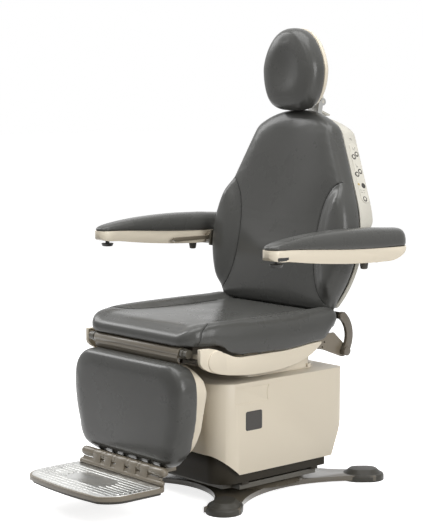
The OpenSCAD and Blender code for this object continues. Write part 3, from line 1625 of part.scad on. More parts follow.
base_casting();
foot_caps();
bearing_race();
turntable();
base_skirt();
base_cover();
column_outer();
lift_motor();
control_box();
power_inlet();
lock_pedal();
column_middle();
shroud_middle();
lift_screw();
column_inner();
shroud_inner();
lift_tube();
seat_frame();
seat_board();
seat_cushion();
seat_cover_left();
seat_cover_right();
seat_plates();
leg_shaft();
recline_motor();
leg_motor();
recline_ram();
leg_ram();
back_links();
back_frame();
back_cushion();
back_shell();
key_panel();
arm_brackets();
key_lift_up();
key_lift_down();
key_back_up();
key_back_down();
key_exit();
key_stop();
headrest_post();
headrest_link();
headrest_shell();
headrest_cushion();
headrest_lever();
arm_pad_left();
arm_pad_right();
arm_shell_left();
arm_shell_right();
arm_rail_left();
arm_rail_right();
arm_knob_left();
arm_knob_right();
leg_frame();
leg_shell();
leg_pad();
footrest_tray();
footrest_tread();
footrest_bumper();
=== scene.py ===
"""Looks of an ophthalmic examination chair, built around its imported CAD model.

Lengths are in metres in the chair's own frame: +Z up, the patient faces -Y and +X is the patient's left.
"""

import json
import logging
import math
from collections.abc import Callable
from dataclasses import dataclass, field
from enum import Enum

import bmesh
import bpy
import numpy as np
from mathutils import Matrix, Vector
from mathutils.bvhtree import BVHTree

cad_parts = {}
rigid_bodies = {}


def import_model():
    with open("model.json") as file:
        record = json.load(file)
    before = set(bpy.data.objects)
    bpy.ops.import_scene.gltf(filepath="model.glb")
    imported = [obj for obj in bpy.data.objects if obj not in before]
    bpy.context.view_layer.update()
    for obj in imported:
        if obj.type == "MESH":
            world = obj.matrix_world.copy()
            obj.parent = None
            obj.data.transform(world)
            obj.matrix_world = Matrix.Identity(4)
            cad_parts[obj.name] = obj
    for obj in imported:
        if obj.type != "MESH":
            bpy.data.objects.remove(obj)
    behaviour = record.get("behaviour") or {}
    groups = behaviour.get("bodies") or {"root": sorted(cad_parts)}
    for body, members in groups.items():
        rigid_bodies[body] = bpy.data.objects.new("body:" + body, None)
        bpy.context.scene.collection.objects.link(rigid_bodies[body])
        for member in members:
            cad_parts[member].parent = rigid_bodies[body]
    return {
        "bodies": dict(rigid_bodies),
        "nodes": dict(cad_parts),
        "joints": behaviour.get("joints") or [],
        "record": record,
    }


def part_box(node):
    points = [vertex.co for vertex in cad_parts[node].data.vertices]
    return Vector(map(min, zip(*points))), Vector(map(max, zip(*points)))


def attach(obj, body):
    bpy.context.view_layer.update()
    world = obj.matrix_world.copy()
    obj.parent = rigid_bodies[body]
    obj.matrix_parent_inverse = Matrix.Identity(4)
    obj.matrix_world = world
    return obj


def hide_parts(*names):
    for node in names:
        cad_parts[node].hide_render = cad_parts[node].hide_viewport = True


LOG = logging.getLogger("examination_chair")
Colour = tuple[float, float, float]
Form = Callable[[np.ndarray, np.ndarray], np.ndarray]
Place = Callable[[np.ndarray], np.ndarray]

MM = 0.001
SPECK = 1e-7  # Radius of the ring at a pole, which tidy() merges into a point
WELD = 1e-6
FULL_TURN = 2 * math.pi
FLAT_EDGE = math.radians(0.6)
HARD_EDGE = math.radians(32)
FOLD_EDGE = math.radians(40)
STEADY = np.array([0.31, 0.17, 0.93])  # Direction that no tube's path follows
BUMP_STRENGTH = 0.6
GRAIN_DENSITY = 600.0  # Cells in a metre, until a finish gives its own
BRUSH_STRETCH = 0.02  # Scale along the brushing, which draws the grain out into lines
COAT_ROUGHNESS = 0.16
GLOSS_SPREAD = 0.25


# Small mathematics


def smooth(t: np.ndarray) -> np.ndarray:
    """Smoothstep of t held between 0 and 1: 3t^2 - 2t^3."""
    c = np.clip(t, 0.0, 1.0)
    return c * c * (3 - 2 * c)


def bump(d: np.ndarray, width: float) -> np.ndarray:
    """Gaussian hill of the distance d: exp(-(d / width)^2)."""
    return np.exp(-np.square(d / width))


def mix(a: np.ndarray | float, b: np.ndarray | float, t: np.ndarray | float) -> np.ndarray:
    """Straight mixture of a and b: a + (b - a) t."""
    return a + (b - a) * t


@dataclass(frozen=True)
class Ramp:
    """A smooth step along a line: 0 up to its start and 1 past its run, which may be negative."""

    start: float
    run: float

    def __call__(self, at: np.ndarray) -> np.ndarray:
        """Height of the step at each place: smooth((at - start) / run)."""
        return smooth((at - self.start) / self.run)


def arc(centre: tuple[float, float], radius: float, start: float, end: float, steps: int) -> np.ndarray:
    """Points on a circle: centre + radius (cos, sin) of evenly spaced angles.

    Args:
        centre: Middle of the circle.
        radius: Its radius.
        start: First angle in degrees.
        end: Last angle in degrees.
        steps: Number of steps between them.

    Returns:
        An array of steps + 1 points.
    """
    angle = np.radians(np.linspace(start, end, steps + 1))
    return np.array(centre) + radius * np.stack([np.cos(angle), np.sin(angle)], 1)


def bezier(controls: list[tuple[float, float]], steps: int) -> np.ndarray:
    """Bezier curve through repeated mixing of its control points.

    Args:
        controls: Control points.
        steps: Number of steps along the curve.

    Returns:
        An array of steps + 1 points.
    """
    t = np.linspace(0, 1, steps + 1)[:, None]
    level = [np.repeat([c], steps + 1, 0) for c in np.array(controls, float)]
    while len(level) > 1:
        level = [mix(a, b, t) for a, b in zip(level, level[1:])]
    return level[0]


def rounded_rectangle(width: float, height: float, radius: float, steps: int) -> np.ndarray:
    """Rectangle with round corners about the origin: four quarter circles, counter-clockwise.

    Args:
        width: Its full width.
        height: Its full height.
        radius: Radius of the corners.
        steps: Number of steps round each corner.

    Returns:
        The closed outline.
    """
    w, h = width / 2 - radius, height / 2 - radius
    corners = ((1, -1, -90), (1, 1, 0), (-1, 1, 90), (-1, -1, 180))
    return np.vstack([arc((sx * w, sy * h), radius, start, start + 90, steps) for sx, sy, start in corners])


def resample(points: np.ndarray, count: int, closed: bool = False) -> np.ndarray:
    """Points at even steps of length along a polyline.

    Args:
        points: The polyline, in any number of dimensions.
        count: Number of points wanted.
        closed: Whether the line returns to its first point.

    Returns:
        An array of count points.
    """
    line = np.vstack([points, points[:1]]) if closed else points
    run = np.r_[0, np.cumsum(np.linalg.norm(np.diff(line, axis=0), axis=1))]
    at = np.linspace(0, run[-1], count, endpoint=not closed)
    return np.stack([np.interp(at, run, line[:, k]) for k in range(line.shape[1])], 1)


def spline(points: np.ndarray, count: int) -> np.ndarray:
    """Smooth line through points: Catmull-Rom, half of (2b + (c-a)t + (2a-5b+4c-d)t^2 + (3b-a-3c+d)t^3).

    Args:
        points: Points to pass through.
        count: Number of points wanted.

    Returns:
        Evenly numbered points along the line.
    """
    ends = np.vstack([2 * points[0] - points[1], points, 2 * points[-1] - points[-2]])
    at = np.linspace(0, len(points) - 1, count)
    k = np.minimum(at.astype(int), len(points) - 2)
    t = (at - k)[:, None]
    a, b, c, d = ends[k], ends[k + 1], ends[k + 2], ends[k + 3]
    return (2 * b + (c - a) * t + (2 * a - 5 * b + 4 * c - d) * t**2 + (3 * b - a - 3 * c + d) * t**3) / 2


# Meshes


def mesh_object(name: str, points: np.ndarray, faces: list[list[int]]) -> bpy.types.Object:
    """New mesh object at the origin, with its place in its vertices.

    Args:
        name: Name of the object and its mesh.
        points: Vertices, with their coordinates last.
        faces: Vertex numbers of each face.

    Returns:
        The linked object, shaded smooth.
    """
    mesh = bpy.data.meshes.new(name)
    mesh.from_pydata(points.reshape(-1, 3).tolist(), [], faces)
    mesh.update()
    return linked(name, mesh)


def linked(name: str, mesh: bpy.types.Mesh) -> bpy.types.Object:
    """Shades a mesh smooth and places it in the scene as an object at the origin.

    Args:
        name: Name of the object.
        mesh: Its mesh.

    Returns:
        The linked object.
    """
    mesh.polygons.foreach_set("use_smooth", np.ones(len(mesh.polygons), bool))
    made = bpy.data.objects.new(name, mesh)
    bpy.context.scene.collection.objects.link(made)
    return made


def ring_faces(rings: int, points: int) -> list[list[int]]:
    """Quads between neighbouring closed rings: point j of ring i is vertex i * points + j.

    Args:
        rings: Number of rings.
        points: Number of points in a ring.

    Returns:
        The quads' vertex numbers.
    """
    i, j = np.meshgrid(np.arange(rings - 1), np.arange(points), indexing="ij")
    k = (j + 1) % points
    quads = np.stack([i * points + j, i * points + k, (i + 1) * points + k, (i + 1) * points + j], -1)
    return quads.reshape(-1, 4).tolist()


def tidy(piece: bpy.types.Object) -> None:
    """Merges doubles, drops what has no area, closes end rings and points the faces outwards.

    Args:
        piece: Mesh object to tidy.
    """
    work = bmesh.new()
    work.from_mesh(piece.data)
    bmesh.ops.remove_doubles(work, verts=work.verts, dist=WELD)
    bmesh.ops.dissolve_degenerate(work, edges=work.edges, dist=WELD)
    bmesh.ops.holes_fill(work, edges=[e for e in work.edges if e.is_boundary], sides=0)
    bmesh.ops.recalc_face_normals(work, faces=work.faces)
    work.to_mesh(piece.data)
    work.free()


def ringed(name: str, rings: np.ndarray) -> bpy.types.Object:
    """Closed skin over a stack of rings: quads between neighbours, and a face over each end.

    Args:
        name: Name of the piece.
        rings: Array of ring, point in the ring and coordinate.

    Returns:
        The closed piece.
    """
    made = mesh_object(name, rings, ring_faces(rings.shape[0], rings.shape[1]))
    tidy(made)
    return made


def lathe(name: str, profile: np.ndarray, place: Vector, axis: Vector, sides: int = 40) -> bpy.types.Object:
    """Turned piece: the profile's (radius, height) points go round the axis, point = place + r u(a) + h axis.

    Args:
        name: Name of the piece.
        profile: Rows of radius and height, from the axis out and back.
        place: Foot of the axis.
        axis: Direction of the axis.
        sides: Number of steps round it.

    Returns:
        The closed turned mesh.
    """
    up = np.array(axis.normalized())
    side = np.array(axis.normalized().orthogonal().normalized())
    angle = np.linspace(0, FULL_TURN, sides, endpoint=False)[:, None]
    ring = np.cos(angle) * side + np.sin(angle) * np.cross(up, side)
    return ringed(name, np.array(place) + profile[:, None, :1] * ring[None] + profile[:, None, 1:] * up)


def tube(name: str, path: np.ndarray, radius: float, sides: int) -> bpy.types.Object:
    """Round profile carried along a path: point = path + radius (cos a normal + sin a binormal).

    Args:
        name: Name of the piece.
        path: Points of the centre line.
        radius: Radius of the tube.
        sides: Number of sides.

    Returns:
        The closed tube.
    """
    ahead = np.roll(path, -1, 0) - np.roll(path, 1, 0)
    ahead[0], ahead[-1] = path[1] - path[0], path[-1] - path[-2]
    ahead /= np.linalg.norm(ahead, axis=1, keepdims=True)
    normal = np.cross(ahead, STEADY)
    normal /= np.linalg.norm(normal, axis=1, keepdims=True)
    angle = np.linspace(0, FULL_TURN, sides, endpoint=False)[None, :, None]
    ring = np.cos(angle) * normal[:, None] + np.sin(angle) * np.cross(ahead, normal)[:, None]
    return ringed(name, path[:, None] + radius * ring)


def outline_plate(name: str, outline: np.ndarray, lift: np.ndarray, place: Place) -> bpy.types.Object:
    """Flat plate with a rounded edge: rings of the outline, each drawn in and lifted, closed over the top.

    Args:
        name: Name of the piece.
        outline: Closed outline, one (u, v) row a point, round the origin.
        lift: Rows of how far a ring is drawn in, and its height.
        place: Takes rows of (u, v, height) to chair coordinates.

    Returns:
        The closed plate.
    """
    ahead = np.roll(outline, -1, 0) - np.roll(outline, 1, 0)
    inward = np.stack([-ahead[:, 1], ahead[:, 0]], 1)
    inward /= np.linalg.norm(inward, axis=1, keepdims=True)
    rings = [np.c_[outline + inward * draw, np.full(len(outline), height)] for draw, height in lift]
    return ringed(name, place(np.concatenate(rings)).reshape(len(lift), len(outline), 3))


def joined(name: str, pieces: list[bpy.types.Object]) -> bpy.types.Object:
    """Joins small pieces of one finish into one mesh object.

    Args:
        name: Name of the joined piece.
        pieces: Mesh objects to join; they are removed.

    Returns:
        The joined object.
    """
    work = bmesh.new()
    for piece in pieces:
        work.from_mesh(piece.data)
    mesh = bpy.data.meshes.new(name)
    work.to_mesh(mesh)
    work.free()
    for piece in pieces:
        bpy.data.objects.remove(piece)
    return linked(name, mesh)


def vectors(items: bpy.types.bpy_prop_collection, label: str) -> np.ndarray:
    """Reads three numbers from every item of a mesh's list.

    Args:
        items: The list, such as the mesh's vertices.
        label: What is read from each item.

    Returns:
        An array with a row for each item.
    """
    out = np.empty(len(items) * 3)
    items.foreach_get(label, out)
    return out.reshape(-1, 3)


def positions(mesh: bpy.types.Mesh) -> np.ndarray:
    """The mesh's vertices as one array."""
    return vectors(mesh.vertices, "co")


def normals(mesh: bpy.types.Mesh) -> np.ndarray:
    """The mesh's vertex normals as one array."""
    return vectors(mesh.vertex_normals, "vector")


def surface_tree(mesh: bpy.types.Mesh) -> BVHTree:
    """Search tree over the mesh's faces."""
    return BVHTree.FromPolygons(positions(mesh).tolist(), [list(p.vertices) for p in mesh.polygons])


def move_vertices(mesh: bpy.types.Mesh, points: np.ndarray) -> None:
    """Puts the mesh's vertices at new places."""
    mesh.vertices.foreach_set("co", points.ravel())
    mesh.update()


def baked(piece: bpy.types.Object) -> None:
    """Applies all of the piece's modifiers to its mesh.

    Args:
        piece: Object whose mesh is replaced.
    """
    graph = bpy.context.evaluated_depsgraph_get()
    mesh = bpy.data.meshes.new_from_object(piece.evaluated_get(graph))
    piece.modifiers.clear()
    old = piece.data
    piece.data = mesh
    bpy.data.meshes.remove(old)


# Finishes


class Slot(Enum):
    """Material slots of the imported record."""

    UPHOLSTERY = "upholstery"
    BEIGE = "beige_plastic"
    TAUPE = "taupe_metal"
    DARK_METAL = "dark_metal"
    DARK_PLASTIC = "dark_plastic"
    RUBBER = "black_rubber"
    BLACK = "black_plastic"
    BOARD = "board"
    STEEL = "steel"
    CAST = "cast_base"
    ALUMINIUM = "aluminium"
    PANEL = "panel"


class Grain(Enum):
    """Kinds of fine surface relief."""

    HIDE = "HideGrain"
    MOULDED = "MouldedGrain"
    BRUSHED = "BrushedGrain"
    ORANGE_PEEL = "PaintPeel"


def linear(colour: Colour) -> tuple[float, float, float, float]:
    """Turns a colour as seen into what shaders take: c / 12.92 where dark, else ((c + 0.055) / 1.055)^2.4.

    Args:
        colour: Red, green and blue in sRGB, from 0 to 1.

    Returns:
        Linear red, green and blue, and an alpha of 1.
    """
    c = np.array(colour)
    flat = np.where(c <= 0.04045, c / 12.92, ((c + 0.055) / 1.055) ** 2.4)
    return (*flat.tolist(), 1.0)


def add_node(
    tree: bpy.types.NodeTree, kind: str, links: dict[str | int, object], **settings: object,
) -> bpy.types.Node:
    """Adds a node and fills its sockets.

    Args:
        tree: Node tree to add to.
        kind: Node type without its ShaderNode prefix.
        links: Input name or number to a value or an output socket.
        **settings: Properties of the node.

    Returns:
        The node.
    """
    made = tree.nodes.new(f"ShaderNode{kind}")
    for key, value in settings.items():
        setattr(made, key, value)
    for key, value in links.items():
        if isinstance(value, bpy.types.NodeSocket):
            tree.links.new(value, made.inputs[key])
        else:
            made.inputs[key].default_value = value
    return made


class NodeGroups:
    """The shader node groups that several finishes share, each built once."""

    def __init__(self) -> None:
        """Starts with no group built."""
        self.made: dict[str, bpy.types.NodeTree] = {}

    def start(
        self, name: str, inputs: dict[str, tuple[str, float | tuple]], outputs: dict[str, str],
    ) -> bpy.types.NodeTree:
        """New group with named sockets.

        Args:
            name: Name of the group.
            inputs: Socket name to its type's short word and its first value.
            outputs: Socket name to its type's short word.

        Returns:
            The group, with its input and output nodes placed.
        """
        tree = bpy.data.node_groups.new(name, "ShaderNodeTree")
        for label, (kind, value) in inputs.items():
            socket = tree.interface.new_socket(label, in_out="INPUT", socket_type=f"NodeSocket{kind}")
            socket.default_value = value
        for label, kind in outputs.items():
            tree.interface.new_socket(label, in_out="OUTPUT", socket_type=f"NodeSocket{kind}")
        tree.nodes.new("NodeGroupInput").name = "in"
        tree.nodes.new("NodeGroupOutput").name = "out"
        self.made[name] = tree
        return tree

    def drift(self) -> bpy.types.NodeTree:
        """Slow change of tone and gloss: colour times 1 + spread (noise - 1/2), and roughness follows it.

        Returns:
            A group with Vector, Color, Roughness, Scale and Spread inputs and Color and Roughness outputs.
        """
        if "ToneDrift" in self.made:
            return self.made["ToneDrift"]
        tree = self.start(
            "ToneDrift",
            {"Vector": ("Vector", (0, 0, 0)), "Color": ("Color", (1, 1, 1, 1)), "Roughness": ("Float", 0.5),
             "Scale": ("Float", 8.0), "Spread": ("Float", 0.05)},
            {"Color": "Color", "Roughness": "Float"},
        )
        source, out = tree.nodes["in"].outputs, tree.nodes["out"].inputs
        patches = {"Vector": source["Vector"], "Scale": source["Scale"], "Detail": 5.0, "Roughness": 0.6}
        noise = add_node(tree, "TexNoise", patches)
        centred = add_node(tree, "Math", {0: noise.outputs[0], 1: 0.5}, operation="SUBTRACT").outputs[0]
        share = add_node(tree, "Math", {0: centred, 1: source["Spread"], 2: 1.0}, operation="MULTIPLY_ADD")
        scaled = {0: source["Color"], "Scale": share.outputs[0]}
        tone = add_node(tree, "VectorMath", scaled, operation="SCALE")
        moved = {0: centred, 1: GLOSS_SPREAD, 2: source["Roughness"]}
        gloss = add_node(tree, "Math", moved, operation="MULTIPLY_ADD")
        tree.links.new(tone.outputs[0], out["Color"])
        tree.links.new(gloss.outputs[0], out["Roughness"])
        return tree

    def grain(self, kind: Grain) -> bpy.types.NodeTree:
        """Fine relief of one kind, as a height from 0 to 1.

        Args:
            kind: Hide, moulded, brushed or paint.

        Returns:
            A group with Vector and Scale inputs and a Height output.
        """
        if kind.value in self.made:
            return self.made[kind.value]
        inputs = {"Vector": ("Vector", (0, 0, 0)), "Scale": ("Float", GRAIN_DENSITY)}
        tree = self.start(kind.value, inputs, {"Height": "Float"})
        source = tree.nodes["in"].outputs
        vector, scale = source["Vector"], source["Scale"]
        if kind is Grain.HIDE:
            cell = add_node(tree, "TexVoronoi", {"Vector": vector, "Scale": scale}, feature="SMOOTH_F1")
            fine = add_node(tree, "TexNoise", {"Vector": vector, "Scale": scale, "Detail": 3.0})
            height = add_node(tree, "Math", {0: cell.outputs[0], 1: fine.outputs[0]}, operation="MULTIPLY")
        elif kind is Grain.BRUSHED:
            drawn = add_node(tree, "Mapping", {"Vector": vector, "Scale": (BRUSH_STRETCH, 1.0, 1.0)})
            height = add_node(tree, "TexNoise", {"Vector": drawn.outputs[0], "Scale": scale, "Detail": 2.0})
        else:
            depth = 2.0 if kind is Grain.MOULDED else 0.0
            height = add_node(tree, "TexNoise", {"Vector": vector, "Scale": scale, "Detail": depth})
        tree.links.new(height.outputs[0], tree.nodes["out"].inputs["Height"])
        return tree


@dataclass(frozen=True)
class Finish:
    """One surface finish: its colour as seen, its gloss and its fine relief."""

    name: str
    slot: Slot
    colour: Colour
    roughness: float
    grain: Grain
    grain_size: float
    relief: float
    metallic: float = 0.0
    coat: float = 0.0
    spread: float = 0.08
    patch: float = 0.12
    specular: float = 0.4

    def build(self, groups: NodeGroups) -> bpy.types.Material:
        """Makes the material from Object coordinates, the shared groups and one Principled shader.

        Args:
            groups: The shared node groups.

        Returns:
            The material.
        """
        material = bpy.data.materials.new(self.name)
        material.use_nodes = True
        tree = material.node_tree
        shader = tree.nodes["Principled BSDF"]
        where = add_node(tree, "TexCoord", {}).outputs["Object"]
        tone = add_node(tree, "Group", {}, node_tree=groups.drift())
        grain = add_node(tree, "Group", {}, node_tree=groups.grain(self.grain))
        for node, label, value in (
            (tone, "Color", linear(self.colour)), (tone, "Roughness", self.roughness),
            (tone, "Scale", 1 / self.patch), (tone, "Spread", self.spread),
            (grain, "Scale", 1 / self.grain_size), (shader, "Metallic", self.metallic),
            (shader, "Specular IOR Level", self.specular), (shader, "Coat Weight", self.coat),
            (shader, "Coat Roughness", COAT_ROUGHNESS),
        ):
            node.inputs[label].default_value = value
        tree.links.new(where, tone.inputs["Vector"])
        tree.links.new(where, grain.inputs["Vector"])
        height = {"Height": grain.outputs[0], "Strength": BUMP_STRENGTH, "Distance": self.relief}
        relief = add_node(tree, "Bump", height)
        tree.links.new(tone.outputs["Color"], shader.inputs["Base Color"])
        tree.links.new(tone.outputs["Roughness"], shader.inputs["Roughness"])
        tree.links.new(relief.outputs[0], shader.inputs["Normal"])
        return material


@dataclass
class Finishes:
    """All finishes of the chair and the materials made from them."""

    vinyl: Finish = Finish(
        "vinyl_charcoal", Slot.UPHOLSTERY, (0.285, 0.285, 0.276), 0.29,
        Grain.HIDE, 1.1 * MM, 0.05 * MM, coat=0.14, specular=0.20)
    thread: Finish = Finish(
        "thread_charcoal", Slot.UPHOLSTERY, (0.25, 0.25, 0.243), 0.6,
        Grain.MOULDED, 0.4 * MM, 0.08 * MM)
    # Dark line of painted shade along the valley of each seam
    painted_seam_shade: Finish = Finish(
        "seam_dark", Slot.UPHOLSTERY, (0.12, 0.12, 0.115), 0.7,
        Grain.MOULDED, 0.4 * MM, 0.02 * MM, specular=0.1)
    ivory: Finish = Finish(
        "shell_ivory", Slot.BEIGE, (0.77, 0.757, 0.716), 0.42,
        Grain.MOULDED, 0.8 * MM, 0.03 * MM, spread=0.02, specular=0.25)
    beige: Finish = Finish(
        "shell_beige", Slot.BEIGE, (0.885, 0.845, 0.770), 0.38,
        Grain.MOULDED, 0.8 * MM, 0.03 * MM, coat=0.08, spread=0.03, specular=0.3)
    taupe: Finish = Finish(
        "enamel_taupe", Slot.TAUPE, (0.455, 0.42, 0.362), 0.36,
        Grain.ORANGE_PEEL, 2.2 * MM, 0.04 * MM, coat=0.25)
    link: Finish = Finish(
        "enamel_link", Slot.TAUPE, (0.385, 0.355, 0.31), 0.36,
        Grain.ORANGE_PEEL, 2.2 * MM, 0.04 * MM, coat=0.2)
    dark_metal: Finish = Finish(
        "enamel_dark", Slot.DARK_METAL, (0.30, 0.285, 0.25), 0.42,
        Grain.ORANGE_PEEL, 2.0 * MM, 0.04 * MM, coat=0.15)
    dark_plastic: Finish = Finish(
        "skirt_dark", Slot.DARK_PLASTIC, (0.20, 0.183, 0.152), 0.34,
        Grain.MOULDED, 0.9 * MM, 0.05 * MM, specular=0.1)
    cast: Finish = Finish(
        "casting_taupe", Slot.CAST, (0.385, 0.358, 0.31), 0.28,
        Grain.ORANGE_PEEL, 3.5 * MM, 0.05 * MM, coat=0.5, spread=0.12)
    rubber: Finish = Finish(
        "rubber_black", Slot.RUBBER, (0.27, 0.263, 0.243), 0.42,
        Grain.MOULDED, 0.9 * MM, 0.08 * MM, spread=0.2, specular=0.22)
    black: Finish = Finish(
        "plastic_black", Slot.BLACK, (0.15, 0.147, 0.14), 0.38,
        Grain.MOULDED, 0.7 * MM, 0.04 * MM)
    board: Finish = Finish(
        "board_stained", Slot.BOARD, (0.24, 0.21, 0.17), 0.7,
        Grain.BRUSHED, 1.5 * MM, 0.12 * MM, spread=0.25)
    steel: Finish = Finish(
        "steel_plated", Slot.STEEL, (0.66, 0.66, 0.65), 0.34,
        Grain.BRUSHED, 0.8 * MM, 0.02 * MM, metallic=1.0)
    aluminium: Finish = Finish(
        "aluminium_satin", Slot.ALUMINIUM, (0.84, 0.84, 0.83), 0.30,
        Grain.BRUSHED, 0.7 * MM, 0.03 * MM, metallic=1.0)
    panel: Finish = Finish(
        "panel_ivory", Slot.PANEL, (0.80, 0.787, 0.745), 0.42,
        Grain.MOULDED, 0.6 * MM, 0.02 * MM, spread=0.02, specular=0.25)
    tan: Finish = Finish(
        "lens_tan", Slot.PANEL, (0.72, 0.63, 0.40), 0.30,
        Grain.MOULDED, 0.6 * MM, 0.02 * MM)
    ink: Finish = Finish(
        "print_dark", Slot.BLACK, (0.24, 0.23, 0.22), 0.55,
        Grain.MOULDED, 0.6 * MM, 0.01 * MM)
    groups: NodeGroups = field(default_factory=NodeGroups)
    built: dict[str, bpy.types.Material] = field(default_factory=dict)

    def dress(self, piece: bpy.types.Object, finish: Finish) -> None:
        """Gives the piece one finish, made the first time it is asked for.

        Args:
            piece: Object to dress.
            finish: Its finish.
        """
        if finish.name not in self.built:
            self.built[finish.name] = finish.build(self.groups)
        piece.data.materials.clear()
        piece.data.materials.append(self.built[finish.name])


# The chair's layout


@dataclass(frozen=True)
class Layout:
    """Where the chair's own reference lines lie."""

    axis_y: float = 0.16866
    tilt: float = 9.6
    back_y: float = 0.128
    back_z: float = 0.523

    def world(self, points: np.ndarray) -> np.ndarray:
        """Moves points from the swivel axis's frame to the chair's."""
        return points + np.array([0, self.axis_y, 0])

    def from_back(self, points: np.ndarray) -> np.ndarray:
        """Takes (across, rearward, up the slope) to the chair's frame: turned back by the tilt, then moved.

        Args:
            points: Points in the back's own frame.

        Returns:
            The same points in the chair's frame.
        """
        lean = math.radians(self.tilt)
        x, w, v = points.T
        y = self.back_y + self.axis_y + w * math.cos(lean) + v * math.sin(lean)
        return np.stack([x, y, self.back_z - w * math.sin(lean) + v * math.cos(lean)], 1)


LAYOUT = Layout()


class Workshop:
    """Keeps the finishes and the bodies, and reports each piece."""

    def __init__(self, frame: dict) -> None:
        """Takes the loaded frame.
        """
        self.frame = frame
        self.finishes = Finishes()
        bodies = frame["record"]["behaviour"]["bodies"]
        self.home = {node: body for body, nodes in bodies.items() for node in nodes}

    def fit(self, piece: bpy.types.Object, finish: Finish, body: str) -> bpy.types.Object:
        """Dresses a new piece and seats it on its body.

        Args:
            piece: New mesh object.
            finish: Its finish.
            body: CAD body that it rides on.

        Returns:
            The piece.
        """
        self.finishes.dress(piece, finish)
        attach(piece, body)
        LOG.info("%s rides on %s in %s", piece.name, body, finish.name)
        return piece

    def repaint(self, nodes: list[str], finish: Finish) -> None:
        """Gives CAD nodes that keep their shape a better finish.

        Args:
            nodes: Names of the nodes.
            finish: Their finish.
        """
        for node in nodes:
            self.finishes.dress(self.frame["nodes"][node], finish)
            LOG.info("%s keeps its shape in %s", node, finish.name)

    def soften(self, node: str, finish: Finish, radius: float) -> bpy.types.Object:
        """Stands a copy of a CAD node in its place, merged, with its hard edges rounded.

        Args:
            node: Name of the CAD node.
            finish: Finish of the copy.
            radius: Width of the rounding.

        Returns:
            The copy.
        """
        mesh = self.frame["nodes"][node].data.copy()
        made = bpy.data.objects.new(f"{node}_form", mesh)
        bpy.context.scene.collection.objects.link(made)
        work = bmesh.new()
        work.from_mesh(mesh)
        bmesh.ops.remove_doubles(work, verts=work.verts, dist=2 * WELD)
        bmesh.ops.dissolve_degenerate(work, edges=work.edges, dist=2 * WELD)
        bmesh.ops.dissolve_limit(work, angle_limit=FLAT_EDGE, verts=work.verts, edges=work.edges)
        work.to_mesh(mesh)
        work.free()
        mesh.name = made.name
        edge = made.modifiers.new("edge", "BEVEL")
        edge.width = radius
        edge.segments = 2
        edge.limit_method = "ANGLE"
        edge.angle_limit = HARD_EDGE
        edge.harden_normals = False
        edge.use_clamp_overlap = True
        baked(made)
        made.data.set_sharp_from_angle(angle=HARD_EDGE)
        self.fit(made, finish, self.home[node])
        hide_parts(node)
        return made


# Upholstery


@dataclass(frozen=True)
class Swelling:
    """How the cloth simulation swells a pad, and how much of its result is kept."""

    frames: int = 20
    quality: int = 4
    mass: float = 0.35
    stretch: float = 20.0
    bending: float = 1.5
    pressure: float = 4.0
    weights: int = 20
    face_hold: Ramp = Ramp(0.2, 0.6)
    seam_hold: float = 0.92
    seam_reach: float = 0.010
    deepest: float = -0.3 * MM
    rounds: int = 40
    detail: float = 0.12


@dataclass(frozen=True)
class Sewing:
    """Sizes of a sewn seam: its valley, a dark line of painted shade in it and the stitches along both its
    sides.
    """

    valleys: tuple[tuple[float, float], ...] = ((1.6 * MM, 2.6 * MM), (0.9 * MM, 12 * MM))
    # Radius of the dark tube of painted shade in each seam's valley
    shade_line_radius: float = 0.8 * MM
    shade_line_sides: int = 8
    pitch: float = 5 * MM
    aside: float = 4.5 * MM
    half_stitch: float = 1.7 * MM
    arch: float = 0.25 * MM
    sunk: float = 0.1 * MM
    thread: float = 0.45 * MM
    thread_sides: int = 6
    taper: float = 0.9
    search: int = 90


